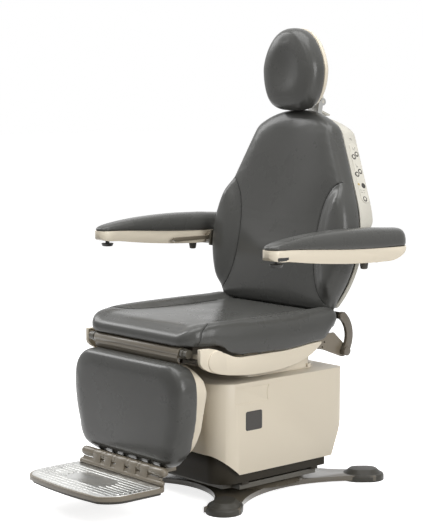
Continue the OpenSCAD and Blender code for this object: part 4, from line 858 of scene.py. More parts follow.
@dataclass
class Pad:
    """A padded form: rings over an outline, each with a share of the outline and a share of the depth."""

    name: str
    node: str
    half: np.ndarray
    centre: tuple[float, float]
    reach: tuple[float, float]
    rings: np.ndarray
    form: Form
    place: Place
    rest: Vector
    voxel: float = 0.006
    cap: float = 0.006
    columns: int = 160
    rows: int = 64
    draw: float = 0.0015
    fill: float = 0.7
    last_ring: float = 0.02
    seams: list[np.ndarray] = field(default_factory=list)
    swelling: Swelling = Swelling()
    sewing: Sewing = Sewing()

    def outline(self) -> np.ndarray:
        """The whole outline at even steps: the right half and its mirror image."""
        left = self.half[1:-1][::-1] * np.array([-1, 1])
        return resample(np.vstack([self.half, left]), self.columns, closed=True)

    def levels(self) -> np.ndarray:
        """Ring shares at even steps along the ring table's line, closed down to the middle at both ends."""
        ends = [[self.last_ring, self.rings[0, 1]], *self.rings.tolist(), [self.last_ring, self.rings[-1, 1]]]
        return resample(np.array(ends), self.rows)

    def shell(self) -> bpy.types.Object:
        """Closed mesh of the form: each ring is the outline drawn in by its share, at the form's depth.

        Returns:
            The mesh object.
        """
        outline, levels = self.outline(), self.levels()
        reach, centre = np.array(self.reach), np.array(self.centre)
        inset = (1 - levels[:, 0]) * min(self.reach)
        scale = 1 - inset[:, None] / reach
        flat = (centre + (outline[None] - centre) * scale[:, None]).reshape(-1, 2)
        depth = self.form(flat, np.repeat(levels[:, 1], len(outline)))
        points = self.place(np.c_[flat, depth])
        return ringed(self.name, points.reshape(len(levels), len(outline), 3))

    def remeshed(self, piece: bpy.types.Object) -> None:
        """Even small quads over the piece, relaxed a little.

        Args:
            piece: The pad's closed form.
        """
        grid = piece.modifiers.new("grid", "REMESH")
        grid.mode = "VOXEL"
        grid.voxel_size = self.voxel
        relax = piece.modifiers.new("relax", "SMOOTH")
        relax.iterations = 4
        baked(piece)

    def pinned(self, mesh: bpy.types.Mesh) -> np.ndarray:
        """How firmly each vertex is held: wholly on the mounting face, partly along the seams.

        Args:
            mesh: The remeshed pad.

        Returns:
            A weight from 0 to 1 for each vertex.
        """
        how = self.swelling
        held = how.face_hold(normals(mesh) @ np.array(self.rest))
        points = positions(mesh)
        for seam in self.seams:
            held = np.maximum(held, how.seam_hold * bump(self.seam_distance(points, seam), how.seam_reach))
        return held

    def seam_distance(self, points: np.ndarray, seam: np.ndarray) -> np.ndarray:
        """Distance of each point from the nearest point of a seam line.

        Args:
            points: Points to measure from.
            seam: Points of the seam line.

        Returns:
            One distance for each point.
        """
        nearest = np.full(len(points), np.inf)
        for spot in resample(seam, self.sewing.search):
            nearest = np.minimum(nearest, np.linalg.norm(points - spot, axis=1))
        return nearest

    def plumped(self, piece: bpy.types.Object) -> None:
        """Swells the pad by the cloth simulation's movement along the normals, evened and capped.

        Args:
            piece: The remeshed pad.
        """
        how, mesh = self.swelling, piece.data
        held = self.pinned(mesh)
        start = positions(mesh) - normals(mesh) * (self.draw * (1 - held))[:, None]
        move_vertices(mesh, start)
        swollen = self.simulated(piece, held)
        move_vertices(mesh, start)
        out = normals(mesh)
        raised = np.clip(np.sum((swollen - start) * out, axis=1), how.deepest, None)
        even = self.evened(mesh, raised, how.rounds)
        lift = self.cap * np.tanh((even + how.detail * (raised - even)) / self.cap)
        move_vertices(mesh, start + out * lift[:, None])

    def simulated(self, piece: bpy.types.Object, held: np.ndarray) -> np.ndarray:
        """Where a short cloth simulation under inner pressure, without gravity, takes the vertices.

        Args:
            piece: The remeshed pad; it is left as it was, without the simulation.
            held: How firmly each vertex is held.

        Returns:
            The vertices after the last frame.
        """
        how, scene = self.swelling, bpy.context.scene
        group = piece.vertex_groups.new(name="held")
        steps = np.round(held * how.weights).astype(int)
        for step in range(1, how.weights + 1):
            chosen = np.flatnonzero(steps == step)
            if len(chosen):
                group.add(chosen.tolist(), step / how.weights, "REPLACE")
        cloth = piece.modifiers.new("cloth", "CLOTH")
        cloth.settings.quality = how.quality
        cloth.settings.mass = how.mass
        cloth.settings.tension_stiffness = how.stretch
        cloth.settings.compression_stiffness = how.stretch
        cloth.settings.bending_stiffness = how.bending
        cloth.settings.use_pressure = True
        cloth.settings.uniform_pressure_force = how.pressure
        cloth.settings.vertex_group_mass = "held"
        cloth.settings.effector_weights.gravity = 0
        cloth.collision_settings.use_collision = False
        cloth.point_cache.frame_start = 1
        cloth.point_cache.frame_end = how.frames
        for frame in range(1, how.frames + 1):
            scene.frame_set(frame)
        graph = bpy.context.evaluated_depsgraph_get()
        swollen = positions(piece.evaluated_get(graph).data)
        piece.modifiers.clear()
        piece.vertex_groups.clear()
        scene.frame_set(1)
        return swollen

    def evened(self, mesh: bpy.types.Mesh, values: np.ndarray, rounds: int) -> np.ndarray:
        """Evens a value: each round, a vertex takes half its own value and half its neighbours' mean.

        Args:
            mesh: The mesh.
            values: One value for each vertex.
            rounds: How many rounds.

        Returns:
            The evened values.
        """
        ends = np.empty(2 * len(mesh.edges), np.int32)
        mesh.edges.foreach_get("vertices", ends)
        first, second = ends[::2], ends[1::2]
        count = np.bincount(ends, minlength=len(values))
        for _ in range(rounds):
            total = np.bincount(first, values[second], len(values))
            total += np.bincount(second, values[first], len(values))
            values = 0.5 * values + 0.5 * total / np.maximum(count, 1)
        return values

    def creased(self, piece: bpy.types.Object) -> None:
        """Presses each seam in by the sum of its valleys, a narrow deep one and a wide shallow one.

        Args:
            piece: The pad; its seams are moved onto its surface first.
        """
        mesh = piece.data
        tree = surface_tree(mesh)
        points, out = positions(mesh), normals(mesh)
        self.seams = [np.array([tree.find_nearest(Vector(spot))[0] for spot in seam]) for seam in self.seams]
        press = np.zeros(len(points))
        for seam in self.seams:
            far = self.seam_distance(points, seam)
            press = np.maximum(press, sum(depth * bump(far, width) for depth, width in self.sewing.valleys))
        move_vertices(mesh, points - out * press[:, None])

    def stitched(self, piece: bpy.types.Object) -> list[bpy.types.Object]:
        """A dark line of painted shade in each seam's valley and thread along both its sides, laid on the
        finished surface.

        Args:
            piece: The finished pad.

        Returns:
            One piece with the stitches and one with the seams' dark lines of painted shade, or nothing
            without a seam.
        """
        if not self.seams:
            return []
        tree, sewing = surface_tree(piece.data), self.sewing
        threads, lines = [], []
        for number, seam in enumerate(self.seams):
            length = np.linalg.norm(np.diff(seam, axis=0), axis=1).sum()
            hits = [tree.find_nearest(Vector(s)) for s in resample(seam, int(length / sewing.pitch))]
            foot, out = np.array([h[0] for h in hits]), np.array([h[1] for h in hits])
            ahead = np.gradient(foot, axis=0)
            ahead /= np.linalg.norm(ahead, axis=1, keepdims=True)
            line = spline(foot, 3 * len(foot))
            # Thin dark tube in the seam's valley: painted shade of the crease
            lines.append(tube(f"{self.name}_groove_{number}", line, sewing.shade_line_radius, sewing.shade_line_sides))
            for sign in (-1, 1):
                row = foot + np.cross(out, ahead) * sign * sewing.aside
                row = np.array([tree.find_nearest(Vector(p))[0] for p in row])
                threads.append(self.stitch_row(f"{self.name}_stitch_{number}_{sign}", row, ahead, out))
        return [joined(f"{self.name}_stitching", threads), joined(f"{self.name}_seams", lines)]

    def stitch_row(self, name: str, row: np.ndarray, ahead: np.ndarray, out: np.ndarray) -> bpy.types.Object:
        """One row of stitches: each is a short arched thread, point = foot + t ahead + h(t) out + ring.

        Args:
            name: Name of the row.
            row: Foot of each stitch.
            ahead: Direction of the seam at each.
            out: Outward direction at each.

        Returns:
            All stitches of the row as one mesh.
        """
        sewing = self.sewing
        t = np.linspace(-1, 1, 5)
        along, height = t * sewing.half_stitch, sewing.arch * (1 - t**4) - sewing.sunk
        radius = sewing.thread * np.sqrt(1 - sewing.taper * t**4)
        angle = np.linspace(0, FULL_TURN, sewing.thread_sides, endpoint=False)
        side = np.cross(out, ahead)
        core = row[:, None] + along[None, :, None] * ahead[:, None] + height[None, :, None] * out[:, None]
        ring = np.cos(angle)[:, None, None] * side + np.sin(angle)[:, None, None] * out
        points = core[:, :, None] + radius[None, :, None, None] * ring.transpose(1, 0, 2)[:, None]
        block = len(t) * len(angle)
        caps = [list(range(len(angle)))[::-1], list(range(block - len(angle), block))]
        stitch = ring_faces(len(t), len(angle)) + caps
        starts = range(0, len(row) * block, block)
        return mesh_object(name, points, [[start + v for v in face] for start in starts for face in stitch])

    def build(self, shop: Workshop) -> bpy.types.Object:
        """Makes, plumps, creases, stitches and dresses the pad.

        Args:
            shop: Where pieces are dressed and seated.

        Returns:
            The finished pad.
        """
        piece = self.shell()
        self.remeshed(piece)
        self.plumped(piece)
        finer = piece.modifiers.new("finer", "SUBSURF")
        finer.levels = finer.render_levels = 1
        baked(piece)
        self.creased(piece)
        piece.data.polygons.foreach_set("use_smooth", np.ones(len(piece.data.polygons), bool))
        body = shop.home[self.node]
        shop.fit(piece, shop.finishes.vinyl, body)
        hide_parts(self.node)
        # Stitches in thread colour; the seams' dark lines are painted shade
        for row, finish in zip(self.stitched(piece), (shop.finishes.thread, shop.finishes.painted_seam_shade)):
            shop.fit(row, finish, body)
        return piece


PAD_RINGS = np.array([
    [0.45, 0], [0.8, 0], [0.872, 0], [0.9, 0], [0.97, 0.015], [0.99, 0.09], [1, 0.3], [0.995, 0.58],
    [0.978, 0.79], [0.945, 0.92], [0.89, 0.985], [0.78, 1], [0.6, 1], [0.32, 1],
])
WRAP_RINGS = np.vstack([
    [[0.45, 0], [0.8, 0], [0.86, 0], [0.885, -0.05], [0.90, -0.8]],
    [[0.925, -1], [0.965, -0.98], [0.99, -0.7], [1, 0]],
    PAD_RINGS[6:],
])
ROUND_RINGS = np.array([
    [0.5, 0], [0.9, 0], [0.965, 0.04], [0.99, 0.18], [1, 0.38], [0.985, 0.58],
    [0.94, 0.77], [0.86, 0.91], [0.74, 0.98], [0.55, 1], [0.3, 1],
])
ARM_RINGS = np.array([
    [0.6, 0], [0.94, 0], [0.985, 0.06], [1, 0.22], [0.985, 0.45],
    [0.92, 0.68], [0.8, 0.86], [0.62, 0.96], [0.35, 1],
])


@dataclass
class SeatPad:
    """The seat: a flat dish between two long bolsters that droop over the side covers."""

    top_z: float = 0.466
    width: float = 0.544
    front_width: float = 0.470
    rear_width: float = 0.524
    front: float = -0.414
    rear: float = 0.142
    corner: float = 0.060
    rear_corner: float = 0.030
    edge_z: float = 0.430
    hang_in: Ramp = Ramp(-0.360, 0.120)
    hang_ease: Ramp = Ramp(-0.090, 0.160)
    eased: float = 0.3
    hang_out: Ramp = Ramp(0.070, 0.060)
    lifted: float = 1.8
    hang_side: Ramp = Ramp(0.237, 0.008)
    bolster: float = 0.067
    middle: float = 0.047
    bolster_side: Ramp = Ramp(0.165, 0.060)
    bolster_front: Ramp = Ramp(-0.300, -0.060)
    front_low: float = 0.25
    rear_rise: float = 0.003
    rear_in: Ramp = Ramp(0.060, 0.060)
    roll: float = 0.010
    roll_start: float = -0.345
    roll_run: float = 0.069
    seam_line: tuple[tuple[float, float, float], ...] = (
        (0.247, -0.379, 0.466), (0.241, -0.368, 0.489), (0.238, -0.360, 0.512), (0.229, -0.344, 0.528),
        (0.208, -0.322, 0.532), (0.186, -0.296, 0.530), (0.175, -0.255, 0.527), (0.172, -0.15, 0.522),
        (0.174, -0.06, 0.521), (0.178, 0.05, 0.516),
    )

    def half(self) -> np.ndarray:
        """Right half of the plan: straight front, round corner, bowed side, tight rear corner.

        Returns:
            The half outline, from the middle of the front to the middle of the rear.
        """
        w, rear_w, f = self.front_width / 2, self.rear_width / 2, self.front
        return np.vstack([
            [[0, f], [self.front_width / 5, f]],
            arc((w - self.corner, f + self.corner), self.corner, -90, 0, 12),
            bezier([(w, f + self.corner + 1 * MM), (self.width / 2, f / 2), (self.width / 2, 0),
                    (rear_w, self.rear - self.rear_corner - 1 * MM)], 30),
            arc((rear_w - self.rear_corner, self.rear - self.rear_corner), self.rear_corner, 0, 90, 8),
            [[self.rear_width / 4, self.rear], [0, self.rear]],
        ])

    def hang(self, y: np.ndarray) -> np.ndarray:
        """How far the side edge hangs: rises from the front, then lifts again at the rear."""
        drop = (self.top_z - self.edge_z) * self.hang_in(y)
        return drop * (1 - self.eased * self.hang_ease(y)) * (1 - self.hang_out(y) * self.lifted)

    def form(self, q: np.ndarray, level: np.ndarray) -> np.ndarray:
        """Height over the plan: the hanging underside mixed with the dished and bolstered top.

        Args:
            q: Rows of (across, along).
            level: Share of the way from the underside to the top.

        Returns:
            One height for each row.
        """
        x, y = np.abs(q[:, 0]), q[:, 1]
        rise = self.bolster_side(x) * (1 - self.bolster_front(y) * self.front_low)
        top = self.top_z + self.middle + (self.bolster - self.middle) * rise
        top = top + self.rear_rise * self.rear_in(y)
        top -= self.roll * np.clip((self.roll_start - y) / self.roll_run, 0, 1) ** 2
        low = self.top_z - self.hang(y) * self.hang_side(x)
        return mix(low, top, level)

    def seams(self) -> list[np.ndarray]:
        """Seam on each side: up the front corner, over the bolster and back along the dish."""
        return [LAYOUT.world(spline(np.array(self.seam_line) * np.array([s, 1, 1]), 60)) for s in (1, -1)]

    def pad(self) -> Pad:
        """The seat as a padded form.

        Returns:
            The form, with its two seams.
        """
        return Pad(
            "seat_upholstery", "seat_cushion", self.half(), (0, (self.rear + self.front) / 2),
            (self.width / 2, (self.rear - self.front) / 2), PAD_RINGS, self.form, LAYOUT.world,
            Vector((0, 0, -1)), cap=7 * MM, seams=self.seams(),
        )


@dataclass
class BackPad:
    """The back: bulging sides, straight shoulders, a domed top, and side bolsters behind curved seams."""

    height: float = 0.576
    thick: float = 0.056
    rear: float = 0.028
    bulge: tuple[float, float] = (-0.0127, 0.193)
    bulge_r: float = 0.302
    foot_r: float = 0.024
    top_r: float = 0.280
    corner_r: float = 0.050
    corner_at: float = 58.0
    low_step: float = 3.0
    top_step: float = 5.0
    drop: float = 0.012
    crown: float = 0.006
    crown_in: Ramp = Ramp(0.40, 0.15)
    front_share: float = 0.57
    bolster: float = 0.020
    bolster_run: float = 0.060
    bolster_out: Ramp = Ramp(0.300, 0.120)
    lumbar: float = 0.012
    lumbar_v: float = 0.150
    lumbar_r: float = 0.110
    hollow: float = 0.008
    hollow_r: float = 0.120
    hollow_in: Ramp = Ramp(0.150, 0.120)
    seam_level: float = 0.97
    seam_line: tuple[tuple[float, float], ...] = (
        (0.240, 0.004), (0.222, 0.016), (0.197, 0.045), (0.180, 0.080), (0.170, 0.120),
        (0.165, 0.160), (0.1645, 0.205), (0.168, 0.250), (0.176, 0.290), (0.188, 0.322),
        (0.208, 0.350), (0.228, 0.366), (0.248, 0.377), (0.262, 0.383),
    )

    def half(self) -> np.ndarray:
        """Right half of the outline: foot, bulge, straight shoulder, corner and a dome raised by the crown.

        Returns:
            The half outline, from the middle of the bottom to the middle of the top.
        """
        low = math.degrees(math.asin((self.foot_r - self.bulge[1]) / (self.bulge_r - self.foot_r)))
        foot_x = self.bulge[0] + (self.bulge_r - self.foot_r) * math.cos(math.radians(low))
        at = math.degrees(self.shoulder_turn())
        half = np.vstack([
            [[0, -self.drop], [foot_x / 2, -self.drop]],
            arc((foot_x, self.foot_r), self.foot_r, -90, low, 8) - np.array([0, self.drop]),
            arc(self.bulge, self.bulge_r, low + self.low_step, at, 30),
            arc(self.shoulder(), self.corner_r, at, self.corner_at, 10),
            arc((0, self.height - self.top_r), self.top_r, self.corner_at + self.top_step, 90, 12),
        ])
        half[:, 1] += self.crown * self.crown_in(half[:, 1])
        return half

    def shoulder(self) -> tuple[float, float]:
        """Centre of the round corner between shoulder and dome: the dome's radius drawn in by the corner's.

        Returns:
            Its place across and up the slope.
        """
        turn, reach = math.radians(self.corner_at), self.top_r - self.corner_r
        return reach * math.cos(turn), self.height - self.top_r + reach * math.sin(turn)

    def shoulder_turn(self) -> float:
        """Angle from across to the straight shoulder's outward side: the common tangent of bulge and corner.

        Returns:
            The angle in radians.
        """
        across, up = self.shoulder()
        run = (across - self.bulge[0], up - self.bulge[1])
        return math.atan2(run[1], run[0]) - math.acos((self.bulge_r - self.corner_r) / math.hypot(*run))

    def seam_at(self, v: np.ndarray) -> np.ndarray:
        """Distance of the bolster's seam from the middle, flaring to the edge at both ends."""
        line = spline(np.array(self.seam_line), 120)
        return np.interp(v, line[:, 1], line[:, 0])

    def form(self, q: np.ndarray, level: np.ndarray) -> np.ndarray:
        """Depth towards the patient: flat at the rear, with bolsters, a lumbar swell and a hollow above it.

        Args:
            q: Rows of (across, up the slope).
            level: Share of the way from the rear to the front.

        Returns:
            One depth for each row.
        """
        x, v = np.abs(q[:, 0]), q[:, 1]
        side = smooth((x - self.seam_at(v)) / self.bolster_run) * (1 - self.bolster_out(v))
        swell = self.lumbar * bump(v - self.lumbar_v, self.lumbar_r) * bump(x, self.lumbar_r)
        relief = self.bolster * side + swell
        relief -= self.hollow * bump(x, self.hollow_r) * self.hollow_in(v)
        return mix(-self.rear, self.thick * self.front_share + relief, level)

    def place(self, points: np.ndarray) -> np.ndarray:
        """Takes (across, up the slope, depth) to the chair's frame."""
        return LAYOUT.from_back(points[:, [0, 2, 1]] * np.array([1, -1, 1]))

    def seams(self) -> list[np.ndarray]:
        """The two curved seams, from the bottom corner to the shoulder, on the front of the cushion.

        Returns:
            The points of each seam in the chair's frame.
        """
        flat = spline(np.array(self.seam_line), 90)
        line = np.c_[flat, self.form(flat, np.full(len(flat), self.seam_level))]
        return [self.place(line * np.array([s, 1, 1])) for s in (1, -1)]

    def pad(self) -> Pad:
        """The back as a padded form, mounted on the side that faces rearward and down.

        Returns:
            The form, with its seams.
        """
        lean = math.radians(LAYOUT.tilt)
        return Pad(
            "back_upholstery", "back_cushion", self.half(), (0, self.height / 2),
            (self.bulge_r, self.height / 2), PAD_RINGS, self.form, self.place,
            Vector((0, math.cos(lean), -math.sin(lean))), cap=7 * MM, seams=self.seams(),
        )


@dataclass
class HeadPad:
    """The headrest: an egg-shaped pad with an oval dish for the head."""

    width: float = 0.228
    height: float = 0.240
    depth: float = 0.062
    y: float = 0.220
    z: float = 1.095
    egg: float = 0.16
    square: float = 0.82
    low_square: float = 0.50
    drop: float = 0.005
    seat_gap: float = 0.0003
    dish: float = 0.009
    dish_r: float = 0.050
    dish_oval: float = 0.8
    ring: float = 0.0012
    ring_at: float = 0.070
    ring_r: float = 0.025

    def half(self) -> np.ndarray:
        """Right half of the egg: a squared cosine narrowed towards the top, against a sine.

        Returns:
            The half outline, from the bottom to the top.
        """
        a = np.radians(np.linspace(-90, 90, 49))
        power = np.where(a < 0, self.low_square, self.square)
        x = self.width / 2 * np.maximum(0, np.cos(a)) ** power * (1 - self.egg * np.maximum(0, np.sin(a)))
        return np.c_[x, self.height / 2 * np.sin(a) - self.drop * np.maximum(0, -np.sin(a))]

    def form(self, q: np.ndarray, level: np.ndarray) -> np.ndarray:
        """Depth towards the patient: a dome with a dish and a low ring round it.

        Args:
            q: Rows of (across, up).
            level: Share of the way from the rear to the front.

        Returns:
            One depth for each row.
        """
        oval, far = np.hypot(q[:, 0], q[:, 1] * self.dish_oval), np.hypot(q[:, 0], q[:, 1])
        relief = self.ring * bump(far - self.ring_at, self.ring_r) - self.dish * bump(oval, self.dish_r)
        return mix(self.seat_gap, self.depth + relief, level)

    def place(self, points: np.ndarray) -> np.ndarray:
        """Takes (across, up, depth) to the chair's frame."""
        x, v, d = points.T
        return LAYOUT.world(np.stack([x, self.y - d, self.z + self.height / 2 + v], 1))

    def pad(self) -> Pad:
        """The headrest as a padded form.

        Returns:
            The form, which has no seam.
        """
        return Pad(
            "head_upholstery", "headrest_cushion", self.half(), (0, 0), (self.width / 2, self.height / 2),
            ROUND_RINGS, self.form, self.place, Vector((0, 1, 0)),
            voxel=4 * MM, cap=4 * MM, columns=96, draw=1 * MM,
        )


@dataclass
class ArmPad:
    """One arm's pad: a long soft wedge that rises from its narrow tip."""

    side: int
    span: float = 0.740
    length: float = 0.530
    width: float = 0.084
    tip: float = 0.058
    tip_y: float = -0.260
    seam_z: float = 0.718
    seam_rise: float = 0.013
    seam_fall: float = 0.005
    seam_gap: float = 0.0004
    height: float = 0.054
    tip_height: float = 0.012
    rise_share: float = 0.72
    rise_power: float = 1.7
    heel: float = 0.003
    heel_in: Ramp = Ramp(0.8, 0.2)
    bow: tuple[tuple[float, float], ...] = ((0.5, 0.3), (0.52, 0.75))

    @property
    def run(self) -> float:
        """Distance between the centres of the two round ends."""
        return self.length - self.tip / 2 - self.width / 2

    @property
    def front(self) -> float:
        """Where the centre of the round tip lies."""
        return self.tip_y + self.tip / 2

    def half(self) -> np.ndarray:
        """Right half of the plan: round tip, bowed side, round rear.

        Returns:
            The half outline, from the tip to the rear.
        """
        t, w, run = self.tip / 2, self.width, self.run
        bowed = [(t, 1 * MM), *((w * aside, run * on) for aside, on in self.bow), (w / 2, run - 1 * MM)]
        return np.vstack([
            arc((0, 0), t, -90, 0, 10),
            bezier(bowed, 24),
            arc((0, run), w / 2, 0, 90, 10),
        ])

    def seam(self, y: np.ndarray) -> np.ndarray:
        """Height of the joint line between pad and shell along the arm."""
        return self.seam_z + self.seam_rise * smooth(1 - y / self.run) ** 2 - self.seam_fall * y / self.run

    def form(self, q: np.ndarray, level: np.ndarray) -> np.ndarray:
        """Height over the joint line, low at the tip and rising fast, then slower, towards the rear.

        Args:
            q: Rows of (across, along), from the centre of the tip.
            level: Share of the way from the joint line to the top.

        Returns:
            One height for each row.
        """
        y = q[:, 1]
        short = 1 - np.clip((y + self.tip / 2) / (self.run * self.rise_share), 0, 1)
        rise = self.height - (self.height - self.tip_height) * short**self.rise_power
        rise -= self.heel * self.heel_in(y / self.run)
        return self.seam(y) + self.seam_gap + level * rise

    def place(self, points: np.ndarray) -> np.ndarray:
        """Takes the arm's own plan to its side of the chair."""
        x, y, z = points.T
        return LAYOUT.world(np.stack([self.side * (x + self.span / 2), y + self.front, z], 1))

    def pad(self) -> Pad:
        """The arm's pad as a padded form.

        Returns:
            The form, which has no seam.
        """
        word = "left" if self.side > 0 else "right"
        return Pad(
            f"arm_{word}_upholstery", f"arm_pad_{word}", self.half(),
            (0, self.run / 2 + (self.width - self.tip) / 4), (self.width / 2, self.length / 2),
            ARM_RINGS, self.form, self.place, Vector((0, 0, -1)),
            voxel=4 * MM, cap=3 * MM, columns=120, rows=48, draw=0.8 * MM,
        )


@dataclass
class LegPad:
    """The legrest's pad: a tall cushion with large round corners, thinner at its lower edge."""

    width: float = 0.486
    low_width: float = 0.440
    top: float = 0.424
    bottom: float = 0.129
    thick: float = 0.048
    back: float = -0.399
    corner: float = 0.076
    top_corner: float = 0.072
    wrap: float = 0.018
    wrap_side: Ramp = Ramp(0.180, 0.025)
    wrap_up: Ramp = Ramp(0.150, 0.040)
    toe: float = 0.014
    toe_run: float = 0.030
    swell: float = 0.005
    lean_share: float = 0.45
    full_share: float = 0.6

    def half(self) -> np.ndarray:
        """Right half of the front outline: straight foot, round corners and a side that leans outwards.

        Returns:
            The half outline, from the bottom to the top.
        """
        low, w, bottom, top, corner = self.low_width / 2, self.width / 2, self.bottom, self.top, self.corner
        return np.vstack([
            [[0, bottom], [self.low_width / 4, bottom]],
            arc((low - corner, bottom + corner), corner, -90, -10, 12),
            bezier([(low, bottom + corner + 1 * MM), (w - 2 * MM, mix(bottom, top, self.lean_share)),
                    (w, mix(bottom, top, self.full_share)),
                    (w - 1 * MM, top - self.top_corner - 1 * MM)], 16),
            arc((w - self.top_corner - 1 * MM, top - self.top_corner), self.top_corner, 10, 90, 12),
            [[w / 2, top], [0, top]],
        ])

    def form(self, q: np.ndarray, level: np.ndarray) -> np.ndarray:
        """Depth towards the front: full over the middle, thinner at the toe, and a wrap behind the sides.

        Args:
            q: Rows of (across, up).
            level: Share of the depth, below 0 where the pad wraps round its shell.

        Returns:
            One depth for each row.
        """
        x, z = q.T
        around = self.wrap_side(np.abs(x)) * self.wrap_up(z)
        toe = self.toe * smooth((self.bottom + self.toe_run - z) / self.toe_run)
        swell = self.swell * bump(x, self.width / 2) * bump(z - (self.bottom + self.top) / 2, self.width / 4)
        return np.where(level < 0, level * self.wrap * around, level * (self.thick - toe + swell))

    def place(self, points: np.ndarray) -> np.ndarray:
        """Takes (across, up, depth) to the chair's frame."""
        x, z, d = points.T
        return LAYOUT.world(np.stack([x, self.back - d, z], 1))

    def pad(self) -> Pad:
        """The legrest as a padded form.

        Returns:
            The form, which has no seam.
        """
        return Pad(
            "leg_upholstery", "leg_pad", self.half(), (0, (self.bottom + self.top) / 2),
            (self.width / 2, (self.top - self.bottom) / 2), WRAP_RINGS, self.form, self.place,
            Vector((0, 1, 0)), cap=6 * MM,
        )


@dataclass
class Upholstery:
    """All the chair's cushions and pads."""

    def build(self, shop: Workshop) -> None:
        """Builds each cushion.

        Args:
            shop: Where pieces are dressed and seated.
        """
        pads = [SeatPad(), BackPad(), HeadPad(), ArmPad(1), ArmPad(-1), LegPad()]
        for maker in pads:
            maker.pad().build(shop)


# Rigid sub-assemblies


@dataclass
class Base:
    """Cross casting, feet, skirt and the moulded cover, with the bare plate on its side."""

    plate: tuple[float, float] = (0.061, 0.054)
    plate_at: tuple[float, float] = (-0.1565, 0.237)
    plate_r: float = 0.006
    plate_t: float = 0.0012
    rim: float = 1.5 * MM
    round: float = 0.4 * MM
    proud: float = 0.35 * MM

    def build(self, shop: Workshop) -> None:
        """Dresses the base and adds the plate.

        Args:
            shop: Where pieces are dressed and seated.
        """
        finish = shop.finishes
        shop.soften("base_casting", finish.cast, 2.5 * MM)
        shop.soften("foot_caps", finish.rubber, 1.5 * MM)
        shop.soften("base_skirt", finish.dark_plastic, 1.0 * MM)
        shop.soften("base_cover", finish.beige, 1.2 * MM)
        shop.repaint(["bearing_race", "column_outer", "lift_motor"], finish.steel)
        shop.repaint(["turntable"], finish.dark_metal)
        shop.repaint(["control_box", "power_inlet"], finish.black)
        shop.repaint(["lock_pedal"], finish.rubber)
        self.bare_plate(shop)

    def bare_plate(self, shop: Workshop) -> None:
        """A dark rounded plate with a black rim on the patient's left side of the cover, with nothing on it.

        Args:
            shop: Where pieces are dressed and seated.
        """
        _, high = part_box("base_cover")

        def side_face(points: np.ndarray) -> np.ndarray:
            """Takes (along Y, up, out) to the cover's side face."""
            u, v, h = points.T
            return LAYOUT.world(np.stack([high.x + h, self.plate_at[0] + u, self.plate_at[1] + v], 1))

        (width, height), radius, thick, edge = self.plate, self.plate_r, self.plate_t, self.round
        lift = np.array([[0, -edge / 2], [0, thick - edge], [edge, thick], [5 * edge, thick]])
        outer = rounded_rectangle(width, height, radius, 8)
        inner = rounded_rectangle(width - 2 * self.rim, height - 2 * self.rim, radius - self.rim, 8)
        rim = outline_plate("side_plate_rim", outer, lift, side_face)
        face = outline_plate("side_plate_face", inner, lift + np.array([0, self.proud]), side_face)
        shop.fit(rim, shop.finishes.black, "swivel")
        shop.fit(face, shop.finishes.ink, "swivel")


@dataclass
class Lift:
    """Telescopic shrouds and what carries the seat."""

    def build(self, shop: Workshop) -> None:
        """Dresses the lift and the seat's frame.

        Args:
            shop: Where pieces are dressed and seated.
        """
        finish = shop.finishes
        shop.soften("shroud_middle", finish.beige, 0.8 * MM)
        shop.soften("shroud_inner", finish.beige, 0.8 * MM)
        for side in ("left", "right"):
            shop.soften(f"seat_cover_{side}", finish.beige, 1.2 * MM)
        shop.repaint(["column_middle", "column_inner", "lift_screw", "lift_tube"], finish.steel)
        shop.repaint(["recline_motor", "leg_motor", "recline_ram", "leg_ram"], finish.steel)
        shop.repaint(["seat_frame", "leg_shaft"], finish.dark_metal)
        shop.repaint(["seat_plates"], finish.taupe)
        shop.repaint(["seat_board"], finish.board)


